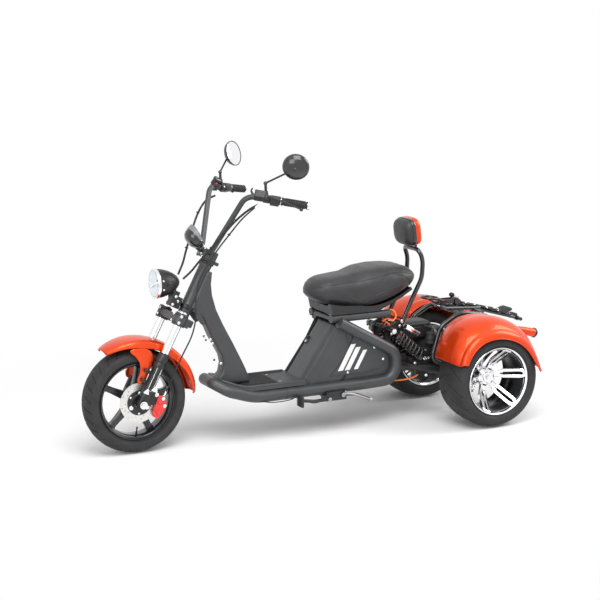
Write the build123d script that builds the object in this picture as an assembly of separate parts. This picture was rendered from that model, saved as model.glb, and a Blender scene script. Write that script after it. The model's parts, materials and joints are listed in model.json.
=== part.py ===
"""Three-wheeled electric chopper scooter, drawn in millimetres.

+X is forward, +Y the rider's left and +Z up. The tyres stand on Z = 0. The drawing's X starts at
the rear axle; each part is moved by SHIFT_X when it is written, so that the origin of the written
model is at the middle of the vehicle's length, on the ground.

Pieces at the back are placed from the rear axle, pieces of the deck from the deck tube's height,
pieces at the nose from the front axle, and all that turns with the fork from the steering axis.
"""
from build123d import *
from functools import lru_cache
import math
import os

# ---------------------------------------------------------------- driving dimensions
WHEELBASE = 1685.0
REAR_TRACK = 648.0              # between the middles of the rear tyres
TAIL_REACH = 375.0              # from the rear axle back to the carrier's last tube
CLEAR = 0.5                     # between seated pieces

FRONT_TYRE_R = 241.5
FRONT_TYRE_W = 130.0
FRONT_RIM_R = 177.0             # outside of the rim's lip
FRONT_RIM_W = 100.0
FRONT_CROWN = 14.0              # drop of the tread from its middle to its shoulder
FRONT_SPOKES = 5
FRONT_SPOKE_PHASE = 27.0
FRONT_SPOKE_ROOT = 42.0         # width of a spoke at the hub
FRONT_SPOKE_TIP = 28.0
FRONT_SPOKE_T = 30.0
FRONT_HUB_R = 34.0
FRONT_HUB_W = 74.0
FRONT_AXLE_R = 10.0
LIP = 4.5                       # thickness of a rim's lip and barrel
BEAD_H = 9.5                    # height of a rim's lip over its barrel

REAR_TYRE_R = 228.0
REAR_TYRE_W = 218.0
REAR_RIM_R = 164.0
REAR_RIM_W = 196.0
REAR_CROWN = 10.0
TYRE_SIDES = 68                 # flats round a tyre, a multiple of four
REAR_SPOKES = 6
REAR_SPOKE_PHASE = 51.5
REAR_HUB_R = 46.0
REAR_HUB_W = 26.0
REAR_DISH = 20.0                # hub's middle inside the tyre's middle
TWIN_W = 15.0                   # each half of a twin spoke
TWIN_T = 20.0
TWIN_GAP = 11.0                 # slot between the halves
REAR_AXLE_R = 14.0

DISC_R = 91.0
DISC_T = 4.0
DISC_Y = 66.0                   # brake disc, left of the middle
DISC_INNER_R = 57.0

RAKE = 27.5                     # steering axis, from the vertical
LEG_OFFSET = 48.0               # fork legs in front of the steering axis
LEG_SPAN = 190.0                # between the middles of the two legs
LEG_TUBE_D = 38.0
SLIDER_D = 50.0
SLIDER_TOP = 236.0              # this and the next are heights along the fork, from the axle
CLAMP_LOW = 384.0
CLAMP_HIGH = 442.0
HEAD_LOW = 478.0
HEAD_HIGH = 695.0
HEAD_D = 56.0
STEM_D = 30.0
CROWN_T = 34.0
CROWN_MARGIN = 22.0             # crown plate in front of the legs and behind the stem

FRONT_FENDER_W = 158.0
FRONT_FENDER_R = 288.0
FRONT_FENDER_T = 3.0
FENDER_TIP = 58.0               # degrees about the front axle, from straight ahead
FENDER_TAIL = 178.0

LAMP_R = 76.0
LAMP_LENGTH = 122.0
LAMP_WALL = 6.0
LAMP_SEAT = 14.0                # depth of the lamp's mouth

BAR_D = 25.0
BAR_HALF = 338.0                # each grip's end, from the middle plane
BAR_PULL = 177.0                # each grip's end, behind the steering axis
BAR_RISE = 410.0                # each grip's end, over the head tube
BEND_Y = 200.0
BEND_RISE = 339.0
MIRROR_Y = 327.0
MIRROR_RISE = 540.0
GRIP_L = 120.0
GRIP_D = 33.0
MIRROR_R = 60.0
MIRROR_RIM = 4.0
GAUGE_R = 52.0
LOOM_D = 9.0
HOSE_D = 7.0

DECK_TUBE_D = 54.0
DECK_Y = 122.0                  # middle of each deck tube
DECK_Z = 214.0
LOOP_X = 391.0                  # deck tube's upright bend behind the battery
FLOOR_T = 22.0
FLOOR_RISE = 48.0               # floor's top over the deck tube's middle
MAT_L = 170.0                   # raised flat of the floor that takes the feet or a load
MAT_T = 3.0
NECK_W = 76.0
SEAT_TUBE_D = 38.0
SEAT_TUBE_Y = 101.0
SEAT_RAIL_RISE = 326.0          # seat rails over the deck tube
PANEL_T = 6.0
BATTERY_W = 214.0
BATTERY_ROUND = 50.0            # upright corners of the battery's case at its front
SEAT_PAN_W = 236.0

BACK_BAR_D = 22.0
BACK_BAR_Y = 72.0
BACK_BAR_X = 221.0              # bar's rearmost run
BACK_RISE = 699.0               # backrest's middle over the deck tube
BACK_X = 245.0                  # middle of the backrest's shell
BACK_TILT = 7.5                 # degrees that the backrest's top leans forward
BACK_W = 160.0
BACK_H = 136.0
BACK_ROUND = 42.0
SHELL_T = 30.0
PAD_T = 50.0

PIVOT_R = 20.0                  # tube that the swing arms turn on
PIVOT_RISE = 71.0
ARM_D = 44.0
HOUSING_R = 34.0
HOUSING_HALF = 190.0
SPRING_R = 24.0
SPRING_WIRE = 9.0
SPRING_TURNS = 7
SHOCK_Y = 112.0

FENDER_WALL = 4.0
FENDER_INSET = 43.0             # rear fender's inner edge, inside its tyre
FENDER_OVERHANG = 15.0          # its lip, outside the tyre
POD_R = 23.0
HOOP_D = 24.0
HOOP_Y = 132.0
RACK_TUBE_D = 18.0
RACK_RISE = 276.0               # rack's crossbars over the rear axle
ARM_SPAN = 60.0                 # between the rack's two rearward arms
PEG_L = 30.0                    # bare end of the rack's last tube, on each side
PEG_COLLAR_R = 12.0

# ---------------------------------------------------------------- derived places
SHIFT_X = -(WHEELBASE + FRONT_TYRE_R - TAIL_REACH) / 2
FRONT_AXLE = Vector(WHEELBASE, 0, FRONT_TYRE_R)
REAR_AXLE = Vector(0, 0, REAR_TYRE_R)
SIN_R = math.sin(math.radians(RAKE))
COS_R = math.cos(math.radians(RAKE))
STEER_UP = Vector(-SIN_R, 0, COS_R)
STEER_FORE = Vector(COS_R, 0, SIN_R)
STEER_FOOT = FRONT_AXLE - STEER_FORE * LEG_OFFSET
FORK_PLANE = Plane(origin=(0, 0, 0), x_dir=STEER_FORE, z_dir=STEER_UP)
LEG_Y = LEG_SPAN / 2
WHEEL_Y = REAR_TRACK / 2
FENDER_IN = WHEEL_Y - REAR_TYRE_W / 2 - FENDER_INSET
FENDER_OUT = WHEEL_Y + REAR_TYRE_W / 2 + FENDER_OVERHANG
DECK_R = DECK_TUBE_D / 2
SEAT_RAIL_Z = DECK_Z + SEAT_RAIL_RISE
PANEL_Y = BATTERY_W / 2
FLOOR_TOP = DECK_Z + FLOOR_RISE
PIVOT = Vector(LOOP_X, 0, DECK_Z + PIVOT_RISE)
RACK_Z = REAR_TYRE_R + RACK_RISE
CROWN_MID = (CLAMP_LOW + CLAMP_HIGH) / 2


# ---------------------------------------------------------------- helpers
def fork_point(up, fore=0.0, y=0.0):
    """A point given along the steering axis, in front of it and to the left of it."""
    return STEER_FOOT + STEER_UP * up + STEER_FORE * fore + Vector(0, y, 0)


def fork_side(up, fore):
    """The (x, z) of such a point."""
    point = fork_point(up, fore)
    return point.X, point.Z


def shifted(points, x=0.0, z=0.0):
    """Side points, (x, z), moved along X and Z."""
    return [(px + x, pz + z) for px, pz in points]


def lying(radius, width, y=0.0):
    """A cylinder whose axis is Y."""
    return Pos(0, y, 0) * Cylinder(radius, width, rotation=(90, 0, 0))


def rod(start, end, diameter):
    """A straight round bar between two points."""
    start, end = Vector(start), Vector(end)
    run = end - start
    plane = Plane(origin=start, z_dir=run)
    return extrude(plane * Circle(diameter / 2), run.length)


def pipe(points, diameter, radii):
    """A round bar bent along straight runs; radii gives a bend radius for each corner."""
    path = FilletPolyline(*points, radius=radii)
    section = Plane(origin=path @ 0, z_dir=path % 0) * Circle(diameter / 2)
    return sweep(section, path=path)


def smooth_radii(points):
    """The largest bend radius that each corner of a cord's route allows."""
    radii = []
    for before, here, after in zip(points, points[1:], points[2:]):
        first, second = Vector(here) - Vector(before), Vector(after) - Vector(here)
        turn = math.radians(first.get_angle(second))
        radii.append(0.45 * min(first.length, second.length) / math.tan(turn / 2))
    return radii


def cord(route, diameter):
    """A cable or hose along (up, fore, y) points about the steering axis."""
    points = [fork_point(*place) for place in route]
    radii = smooth_radii(points)
    print("bend radii", [round(r) for r in radii])
    return pipe(points, diameter, radii)


def block(centre, size, plane=Plane.XY, round_by=0.0):
    """A box about a centre; its sides follow plane's directions."""
    shape = Box(*size)
    if round_by:
        shape = fillet(shape.edges(), round_by)
    return Plane(origin=Vector(centre), x_dir=plane.x_dir, z_dir=plane.z_dir) * shape


def ring(outline):
    """Turns an outline of (y, radius) points about the Y axis."""
    return revolve(make_face(Polyline(*[(r, y, 0) for y, r in outline], close=True)), Axis.Y)


def side_plate(outline, y_low, y_high):
    """A plate with a side outline of (x, z) points between two places in Y."""
    face = make_face(Polyline(*[(x, y_low, z) for x, z in outline], close=True))
    return extrude(face, y_high - y_low, dir=(0, 1, 0))


def mirrored(shape):
    """The same piece on the right-hand side."""
    return mirror(shape, Plane.XZ)


def both(shape):
    """A piece with its mirror image."""
    return shape + mirrored(shape)


def spline_shell(rows, wall):
    """A smooth sheet through rows of points, wall thick."""
    face = Face.make_surface_from_array_of_points([[Vector(p) for p in row] for row in rows])
    return thicken(face, wall)


# ---------------------------------------------------------------- wheels
def drum(stations):
    """A solid through many-sided rings about the Y axis, from (y, radius to a flat) places."""
    rings = []
    for y, radius in stations:
        flats = RegularPolygon(radius, TYRE_SIDES, major_radius=False, rotation=180 / TYRE_SIDES)
        rings.append(Plane(origin=(0, y, 0), x_dir=(1, 0, 0), z_dir=(0, 1, 0)) * flats)
    return loft(rings, ruled=True)


def tyre(radius, width, rim_r, rim_w, crown):
    """A tyre about Y: beads inside the rim's lips, full sidewalls and a crowned tread."""
    barrel = rim_r - BEAD_H + CLEAR
    seat = rim_w / 2 - LIP - CLEAR
    wall, band = rim_r + (radius - rim_r) * 0.42, 6
    outside = [(width * 0.5, wall + band), (width * 0.37, radius - crown),
               (width * 0.27, radius - 0.45 * crown), (width * 0.11, radius)]
    shape = drum([(-y, r) for y, r in outside] + outside[::-1])
    slope = (wall - band - rim_r - 1.5) / (width / 2 - seat)
    for hand in (-1, 1):
        shape -= drum([(hand * seat, rim_r + 1.5), (hand * (width / 2 + 1), wall - band + slope)])
    return shape - drum([(-width, barrel), (width, barrel)])


def front_tyre():
    return Pos(*FRONT_AXLE) * tyre(FRONT_TYRE_R, FRONT_TYRE_W, FRONT_RIM_R, FRONT_RIM_W, FRONT_CROWN)


def rear_tyre(side):
    """Wide low tyre, on the left for side = 1."""
    shape = tyre(REAR_TYRE_R, REAR_TYRE_W, REAR_RIM_R, REAR_RIM_W, REAR_CROWN)
    return Pos(0, side * WHEEL_Y, REAR_TYRE_R) * shape


def rim_ring(rim_r, rim_w):
    """The rim's barrel with a lip on each side."""
    half = rim_w / 2
    barrel = rim_r - BEAD_H
    inner = barrel - LIP
    return ring([(-half, inner), (-half, rim_r), (LIP - half, rim_r), (LIP - half, barrel),
                 (half - LIP, barrel), (half - LIP, rim_r), (half, rim_r), (half, inner)])


def front_rim():
    """Cast wheel with straight spokes that narrow outwards."""
    root_x = FRONT_HUB_R - 14
    reach = FRONT_RIM_R - BEAD_H - LIP / 2
    root, tip = FRONT_SPOKE_ROOT / 2, FRONT_SPOKE_TIP / 2
    face = make_face(Polyline((root_x, -root), (reach, -tip), (reach, tip), (root_x, root), close=True))
    spoke = Plane.XZ * extrude(face, FRONT_SPOKE_T / 2, both=True)
    shape = rim_ring(FRONT_RIM_R, FRONT_RIM_W) + lying(FRONT_HUB_R, FRONT_HUB_W)
    for index in range(FRONT_SPOKES):
        shape += Rot(0, -(FRONT_SPOKE_PHASE + index * 360 / FRONT_SPOKES), 0) * spoke
    return Pos(*FRONT_AXLE) * (shape - lying(FRONT_AXLE_R + CLEAR, 2 * FRONT_HUB_W))


def brake_disc():
    """Drilled disc, its carrier and the spacer that bolts it to the hub."""
    bore = FRONT_AXLE_R + CLEAR
    disc = lying(DISC_R, DISC_T) - lying(24, 10)
    rows = 3
    for index in range(10 * rows):
        reach = DISC_INNER_R + 9 + 8.5 * (index % rows)
        hole = Pos(reach, 0, 0) * lying(2.6, 2 * DISC_T)
        disc -= Rot(0, -12 * index, 0) * hole
    carrier = lying(DISC_INNER_R, 8, -6) - lying(bore, 40)
    spacer_w = DISC_Y - FRONT_HUB_W / 2 - 10
    spacer = lying(FRONT_HUB_R - 4, spacer_w, -10 - spacer_w / 2 + CLEAR) - lying(bore, 4 * spacer_w)
    return Pos(FRONT_AXLE.X, DISC_Y, FRONT_AXLE.Z) * (disc + carrier + spacer)


def twin_spoke():
    """Two bars that run outwards from the hub's face to the rim's outer edge."""
    inner = REAR_RIM_R - BEAD_H - LIP
    start = Vector(30, -REAR_DISH, 0)
    run = Vector(inner + 2, REAR_RIM_W / 2 - 14, 0) - start
    shape = None
    for hand in (-1, 1):
        foot = start + Vector(0, 0, hand * (TWIN_GAP + TWIN_W) / 2)
        bar = Plane(origin=foot, x_dir=(0, 0, 1), z_dir=run) * extrude(Rectangle(TWIN_W, TWIN_T), run.length)
        shape = bar if shape is None else shape + bar
    return shape


def rear_rim(side):
    """Deeply dished wheel with twin spokes, on the left for side = 1."""
    inner = REAR_RIM_R - BEAD_H - LIP
    reach = REAR_RIM_W
    shape = lying(REAR_HUB_R, REAR_HUB_W, -REAR_DISH)
    for index in range(REAR_SPOKES):
        shape += Rot(0, -(REAR_SPOKE_PHASE + index * 360 / REAR_SPOKES), 0) * twin_spoke()
    shape &= lying(inner + LIP / 2, reach)
    shape = shape + rim_ring(REAR_RIM_R, REAR_RIM_W) - lying(REAR_AXLE_R + CLEAR, reach)
    if side < 0:
        shape = mirrored(shape)
    return Pos(0, side * WHEEL_Y, REAR_TYRE_R) * shape


# ---------------------------------------------------------------- fork and steering
def head_tube():
    """Tube that the steering stem turns in."""
    outer = rod(fork_point(HEAD_LOW), fork_point(HEAD_HIGH), HEAD_D)
    return outer - rod(fork_point(HEAD_LOW - 5), fork_point(HEAD_HIGH + 5), HEAD_D - 12)


def leg_rod(low, high, side, diameter):
    """A rod on a fork leg's axis between two heights, on the left for side = 1."""
    y = side * LEG_Y
    return rod(fork_point(low, LEG_OFFSET, y), fork_point(high, LEG_OFFSET, y), diameter)


def crown_plate(thickness, round_by=0.0):
    """Plate that joins both legs to the stem."""
    size = (LEG_OFFSET + 2 * CROWN_MARGIN, LEG_SPAN, thickness)
    return block(fork_point(CROWN_MID, LEG_OFFSET / 2), size, FORK_PLANE, round_by)


@lru_cache
def steering_stem():
    """Stem with the fork crown below it and the bar clamp on its top."""
    stem = rod(fork_point(CLAMP_LOW + 10), fork_point(HEAD_HIGH + 20), STEM_D)
    race = rod(fork_point(CLAMP_HIGH - 12), fork_point(HEAD_LOW - 4), HEAD_D)
    shape = stem + crown_plate(CROWN_T, 6) + race + top_clamp()
    for side in (-1, 1):
        shape += leg_rod(CLAMP_LOW, CLAMP_HIGH, side, LEG_TUBE_D + 22)
        ear = fork_point(CROWN_MID - 4, LEG_OFFSET - 36, side * LEG_Y)
        shape += block(ear, (26, 20, 42), FORK_PLANE, 3)
        shape -= leg_rod(CLAMP_LOW - 5, CLAMP_HIGH - 6, side, LEG_TUBE_D)
    return shape


def top_clamp():
    """Bar clamp on the stem's top, over the head tube."""
    low = HEAD_HIGH + 5
    base = rod(fork_point(low), fork_point(low + 14), HEAD_D + 6)
    body = block(fork_point(low + 34, 14), (72, 76, 44), FORK_PLANE, 5)
    tail = block(fork_point(low + 10, -38), (34, 26, 16), FORK_PLANE, 4)
    return base + body + tail - handlebar()


@lru_cache
def fork_tubes():
    """Bright inner tubes, from inside the sliders up into the crown."""
    tubes = [leg_rod(SLIDER_TOP - 20, CLAMP_HIGH - 6, side, LEG_TUBE_D) for side in (-1, 1)]
    return tubes[0] + tubes[1]


@lru_cache
def fork_sliders():
    """Lower legs with a collar on top, two fender bosses and an axle eye below."""
    shape = None
    for side in (-1, 1):
        y = side * LEG_Y
        leg = leg_rod(24, SLIDER_TOP, side, SLIDER_D)
        leg += leg_rod(SLIDER_TOP - 26, SLIDER_TOP - 6, side, SLIDER_D + 4)
        for up, fore in ((145, 92), (100, 90)):
            boss = fork_point(up, fore, y)
            leg += rod(boss, fork_point(up, LEG_OFFSET, y), 16) + Pos(*boss) * lying(9, 20)
        eye = Pos(FRONT_AXLE.X, y, FRONT_AXLE.Z) * lying(22, 40)
        leg = leg + eye + block(fork_point(14, LEG_OFFSET, y), (36, 40, 34), FORK_PLANE)
        leg -= leg_rod(SLIDER_TOP - 20, SLIDER_TOP + 5, side, LEG_TUBE_D)
        leg -= Pos(FRONT_AXLE.X, y, FRONT_AXLE.Z) * lying(FRONT_AXLE_R, 60)
        shape = leg if shape is None else shape + leg
    return shape


def front_axle():
    """Spindle through the hub, with a nut outside each leg."""
    shaft = lying(FRONT_AXLE_R, LEG_SPAN + 56)
    return Pos(*FRONT_AXLE) * (shaft + both(lying(15, 10, LEG_Y + 25)))


def front_caliper():
    """Caliper behind the left leg, open over the disc."""
    lean = Plane(origin=(0, 0, 0), x_dir=(0.93, 0, 0.36), z_dir=(-0.36, 0, 0.93))
    body = block(FRONT_AXLE + Vector(-96, DISC_Y, -28), (46, 52, 92), lean, 9)
    gap = lying(DISC_R + 3, DISC_T + 6, DISC_Y)
    outline = shifted([(-20, 20.5), (-98, 20.5), (-98, -9.5), (-26, -19.5)], WHEELBASE, FRONT_TYRE_R)
    arm = side_plate(outline, LEG_Y - 19, LEG_Y - 9)
    return body - Pos(*FRONT_AXLE) * gap + arm - fork_sliders()


def fender_row(angle):
    """Points across the front fender's crown at an angle about the front axle."""
    half = FRONT_FENDER_W / 2
    from_end = min(angle - FENDER_TIP, FENDER_TAIL - angle)
    waist = 12 * math.exp(-((angle - 120) / 16) ** 2)
    width = half * min(1.0, 0.55 + 0.45 * from_end / 22) - waist
    skirt = 18 + 20 * min(1.0, from_end / 40)
    across = [(-1.0, skirt), (-0.93, 14), (-0.6, 4), (0, 0), (0.6, 4), (0.93, 14), (1.0, skirt)]
    turn = math.radians(angle)
    return [(WHEELBASE + (FRONT_FENDER_R - drop) * math.cos(turn), share * width,
             FRONT_TYRE_R + (FRONT_FENDER_R - drop) * math.sin(turn)) for share, drop in across]


def front_fender():
    """Fender over the front tyre, with a leg down each side to the slider's bosses."""
    steps = 12
    rows = [fender_row(FENDER_TIP + (FENDER_TAIL - FENDER_TIP) * i / steps) for i in range(steps + 1)]
    half = FRONT_FENDER_W / 2
    outline = [fork_side(*place) for place in [(191, 215), (174, 156), (91, 109), (77, 87), (85, 73),
                                               (111, 69), (198, 76), (256, 91)]]
    leg = side_plate(outline, half - FRONT_FENDER_T, half)
    shape = spline_shell(rows, FRONT_FENDER_T) + both(leg) - fork_sliders()
    for side in (-1, 1):
        shape -= leg_rod(60, 330, side, SLIDER_D + 8)
    return shape


def lamp_place():
    """Middle of the lamp's back, looking forward."""
    return Pos(*fork_point(567, 87)) * Rot(0, 0, -90)


def headlight():
    """Bullet shell with its open end forward."""
    inner, floor = LAMP_R - LAMP_WALL, LAMP_LENGTH - LAMP_SEAT
    rim = LAMP_LENGTH - 10
    outline = Spline((0, 0), (LAMP_R * 0.62, 16), (LAMP_R * 0.97, 62), (LAMP_R, rim))
    outline += Polyline((LAMP_R, rim), (LAMP_R, LAMP_LENGTH), (inner, LAMP_LENGTH), (inner, floor),
                        (0, floor), (0, 0))
    return lamp_place() * revolve(make_face(outline), Axis.Y)


def headlight_lens():
    """Domed clear cover seated in the shell's mouth."""
    reach = LAMP_R - LAMP_WALL - CLEAR
    back = LAMP_LENGTH - LAMP_SEAT + CLEAR
    edge, dome = back + 12, back + 23
    outline = Polyline((0, back), (reach, back), (reach, edge))
    outline += Spline((reach, edge), (reach * 0.6, edge + 7), (0, dome), tangents=((-0.4, 1), (-1, 0)))
    outline += Line((0, dome), (0, back))
    return lamp_place() * revolve(make_face(outline), Axis.Y)


def headlight_bracket():
    """Block between the fork crown and the lamp."""
    foot = fork_point(CLAMP_HIGH - 10, LEG_OFFSET + 6)
    plate = block(foot + Vector(14, 0, 30), (60, 56, 62), round_by=6)
    plate -= crown_plate(CROWN_T + 2 * CLEAR)
    plate -= rod(fork_point(CLAMP_LOW), fork_point(HEAD_HIGH), HEAD_D + 14)
    shell = Pos(0, LAMP_LENGTH / 2, 0) * Cylinder(LAMP_R + 2 * CLEAR, LAMP_LENGTH + 40, rotation=(90, 0, 0))
    return plate - lamp_place() * shell


# ---------------------------------------------------------------- handlebar and controls
BAR_END = fork_point(HEAD_HIGH + BAR_RISE, -BAR_PULL, BAR_HALF)
BAR_BEND = fork_point(HEAD_HIGH + BEND_RISE, 54, BEND_Y)
BAR_FOOT = fork_point(HEAD_HIGH + 46, 25, 50)
BAR_RUN = (BAR_BEND - BAR_END).normalized()
LEVER_SHIFT = Vector(26, 14, -40)
MIRROR_MID = fork_point(HEAD_HIGH + MIRROR_RISE, -47, MIRROR_Y)
MIRROR_FACE = Vector(-0.528, -0.812, 0.25).normalized()
GAUGE_MID = fork_point(HEAD_HIGH + 83, 105)
GAUGE_FACE = Vector(-0.81, 0, 0.59).normalized()


def bar_point(reach, shift=Vector(0, 0, 0)):
    """A point on the left grip's axis, reach in from its end."""
    return BAR_END + BAR_RUN * reach + shift


def bar_ring(start, length, diameter):
    """A collar round the left grip's run."""
    return rod(bar_point(start), bar_point(start + length), diameter)


@lru_cache
def handlebar():
    """One tube: grips, risers and the straight run through the clamp."""
    half = [BAR_END, BAR_BEND, BAR_FOOT]
    other = [Vector(p.X, -p.Y, p.Z) for p in reversed(half)]
    return pipe(half + other, BAR_D, [62, 34, 34, 62])


def grips():
    """Rubber grips, closed at their outer ends."""
    return both(bar_ring(-4, GRIP_L + 4, GRIP_D) - bar_ring(0, GRIP_L + 1, BAR_D))


@lru_cache
def hand_controls():
    """Switch housings beside the grips, with lever perches, levers and fluid reservoirs."""
    shape = bar_ring(GRIP_L + 2, 28, 42) + bar_ring(GRIP_L + 28, 29, 38) + bar_ring(GRIP_L + 79, 33, 46)
    shape += rod(bar_point(GRIP_L + 46), bar_point(GRIP_L + 46, LEVER_SHIFT), 18)
    tip = bar_point(14, LEVER_SHIFT)
    shape += rod(tip, bar_point(GRIP_L + 50, LEVER_SHIFT), 11) + Pos(*tip) * Sphere(8)
    return both(shape) - handlebar()


def mirror_plane():
    """Place of the left mirror's glass, with its normal out of the glass."""
    return Plane(origin=MIRROR_MID, z_dir=MIRROR_FACE)


def mirrors():
    """Round shells on bent stems clamped to the bar."""
    rim = MIRROR_R - MIRROR_RIM
    outline = Spline((0, -34), (0.6 * MIRROR_R, -26), (MIRROR_R, -4), tangents=((1, 0), (0.1, 1)))
    outline += Polyline((MIRROR_R, -4), (MIRROR_R, 0), (rim, 0), (rim, -4), (0, -4), (0, -34))
    shell = mirror_plane() * revolve(Plane.XZ * make_face(outline), Axis.Z)
    foot = bar_point(GRIP_L + 68)
    elbow = foot + Vector(4, 0, 70)
    stem = rod(foot, elbow, 13) + Pos(*elbow) * Sphere(9) + rod(elbow, MIRROR_MID - MIRROR_FACE * 28, 9)
    return both(shell + stem + bar_ring(GRIP_L + 60, 16, 34)) - handlebar() - hand_controls()


def mirror_glass():
    """Round glasses seated in the mirror shells."""
    return both(mirror_plane() * Pos(0, 0, -2) * Cylinder(MIRROR_R - MIRROR_RIM - CLEAR, 3))


def speedometer():
    """Round gauge in front of the bar, its dial turned up to the rider."""
    frame = Plane(origin=GAUGE_MID, x_dir=(0, 1, 0), z_dir=GAUGE_FACE)
    outline = Polyline((0, -38), (30, -38), (GAUGE_R - 4, -22), (GAUGE_R, 0), (0, 0), close=True)
    bowl = frame * revolve(Plane.XZ * make_face(outline), Axis.Z)
    stalk = rod(GAUGE_MID - GAUGE_FACE * 30, fork_point(HEAD_HIGH + 38, 44), 16)
    return bowl + stalk - steering_stem()


LOOM_LEFT = [(1020, -4, 232), (983, 19, 214), (918, 35, 172), (841, 43, 130), (763, 51, 90), (690, 61, 56),
             (631, 71, 40), (585, 90, 36)]
LOOM_RIGHT = [(1005, 2, -215), (966, 40, -200), (895, 69, -160), (810, 81, -115), (723, 86, -75),
              (652, 87, -45), (596, 91, -30)]
HOSE_ROUTE = [(69, -41, 84), (124, -37, 96), (197, -31, 103), (282, -32, 105), (368, -34, 104),
              (445, -19, 100), (518, 14, 92), (597, 35, 88), (681, 36, 96), (767, 33, 120), (848, 29, 156),
              (924, 25, 194), (985, 14, 230), (1021, -1, 246)]


def cables():
    """Wrapped cable looms from both ends of the bar, and the front brake's hose."""
    return cord(LOOM_LEFT, LOOM_D) + cord(LOOM_RIGHT, LOOM_D) + cord(HOSE_ROUTE, HOSE_D)


# ---------------------------------------------------------------- frame
@lru_cache
def neck():
    """Pressed box from the head tube down to the deck's nose."""
    low_front = shifted([(-423, 189), (-433, 151), (-422, 108), (-385, 78), (-385, 50)], WHEELBASE, DECK_Z)
    low_rear = shifted([(-561, 48), (-561, 81), (-525, 157), (-477, 252), (-432, 336)], WHEELBASE, DECK_Z)
    high_front = [fork_side(*place) for place in [(670, -3), (478, -3), (462, -79), (396, -168)]]
    high_rear = [fork_side(*place) for place in [(522, -129), (573, -81), (616, -53), (671, -31)]]
    body = side_plate(high_front + low_front + low_rear + high_rear, -NECK_W / 2, NECK_W / 2)
    body -= rod(fork_point(HEAD_LOW - 60), fork_point(HEAD_HIGH + 60), HEAD_D)
    return body + head_tube() - deck_tube()


def deck_points():
    """Middle line of the left deck tube, from under the seat round the back to the nose."""
    return [(LOOP_X + 309, DECK_Y, DECK_Z + 310), (LOOP_X, DECK_Y, DECK_Z + 137),
            (LOOP_X, DECK_Y, DECK_Z + 5), (LOOP_X + 169, DECK_Y, DECK_Z), (WHEELBASE - 545, DECK_Y, DECK_Z),
            (WHEELBASE - 423, DECK_Y - 12, DECK_Z + 38), (WHEELBASE - 367, DECK_Y - 70, DECK_Z + 72)]


@lru_cache
def deck_tube():
    """One tube: round the deck's nose, along both sides and back up under the seat."""
    left = deck_points()
    right = [(x, -y, z) for x, y, z in reversed(left)]
    bends = [78, 74, 400, 260, 55, 30]
    return pipe(left + right, DECK_TUBE_D, bends + bends[::-1])


def deck_floor():
    """Footboard between the tubes, rising to the nose."""
    side = DECK_Y - 4
    rear = LOOP_X + 470
    top = shifted([(-505, 0), (-395, 38), (-389, 14), (-505, -FLOOR_T)], WHEELBASE, FLOOR_TOP)
    outline = [(rear, FLOOR_TOP - FLOOR_T), (rear, FLOOR_TOP)] + top
    nose = [(-515, side), (-435, side - 17), (-395, side - 52)]
    edge = [(rear - 5, side)] + [(WHEELBASE + x, y) for x, y in nose]
    plan = make_face(Polyline(*edge, *[(x, -y) for x, y in reversed(edge)], close=True))
    board = side_plate(outline, -DECK_Y, DECK_Y) & extrude(Pos(0, 0, DECK_Z - 60) * plan, 250)
    mat = Pos(WHEELBASE - 600, 0, FLOOR_TOP + MAT_T / 2) * Box(MAT_L, 2 * DECK_Y - 70, MAT_T)
    return board + mat - neck() - deck_tube() - battery_box()


@lru_cache
def seat_frame():
    """Rails that carry the saddle, from the deck tube's ends back, with three crossbars."""
    rail = rod((LOOP_X + 29, 0, 0), (LOOP_X + 345, 0, 0), SEAT_TUBE_D)
    shape = both(Pos(0, SEAT_TUBE_Y, SEAT_RAIL_Z) * rail)
    for x in (69, 249, 330):
        shape += Pos(LOOP_X + x, 0, SEAT_RAIL_Z - 2) * lying(12, 2 * SEAT_TUBE_Y)
    return shape - deck_tube()


def panel_outline():
    """Side outline of the cover inside a tube loop."""
    return shifted([(352, 53), (157, 54), (87, 66), (55, 92), (49, 121), (64, 148), (109, 178), (201, 230),
                    (223, 241), (238, 208), (262, 160), (292, 116), (331, 72)], LOOP_X, DECK_Z)


def side_panels():
    """Flat covers on the battery's case, inside the tube loops."""
    return both(side_plate(panel_outline(), PANEL_Y, PANEL_Y + PANEL_T) - deck_tube())


@lru_cache
def battery_box():
    """Case of the battery between the loops, its front leaning back and rounded at the sides."""
    outline = [(499, 26), (79, 26), (61, 86), (79, 166), (209, 241), (296, 294), (314, 294)]
    case = side_plate(shifted(outline, LOOP_X, DECK_Z), -BATTERY_W / 2, BATTERY_W / 2)
    corners = case.edges().filter_by(lambda edge: abs((edge % 0.5).Y) < 0.1).sort_by(Axis.X)[-2:]
    return fillet(corners, BATTERY_ROUND) - deck_tube()


# x from the loop's bend, half width, and bottom and top over the seat rails
SEAT_STATIONS = [(422, 32, 102, 136), (404, 64, 82, 156), (380, 95, 66, 173), (345, 113, 57, 182),
                 (290, 124, 48, 187), (219, 136, 40, 195), (139, 152, 34, 217), (59, 162, 50, 223),
                 (-21, 162, 84, 219), (-81, 146, 118, 211), (-109, 112, 142, 197)]


@lru_cache
def seat():
    """Two-level saddle."""
    sections = []
    for x, half, low, high in SEAT_STATIONS:
        height = high - low
        middle = (LOOP_X + x, 0, SEAT_RAIL_Z + (low + high) / 2)
        frame = Plane(origin=middle, x_dir=(0, 1, 0), z_dir=(1, 0, 0))
        sections.append(frame * RectangleRounded(2 * half, height, min(height, 2 * half) * 0.42))
    return loft(sections)


def seat_base():
    """Pan under the cushion, tilted up at the rear."""
    outline = shifted([(352, 72), (290, 60), (139, 50), (59, 66), (-21, 98), (-76, 128), (-90, 108),
                       (-32, 74), (92, SEAT_TUBE_D / 2), (340, SEAT_TUBE_D / 2)], LOOP_X, SEAT_RAIL_Z)
    return side_plate(outline, -SEAT_PAN_W / 2, SEAT_PAN_W / 2) - seat()


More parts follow.
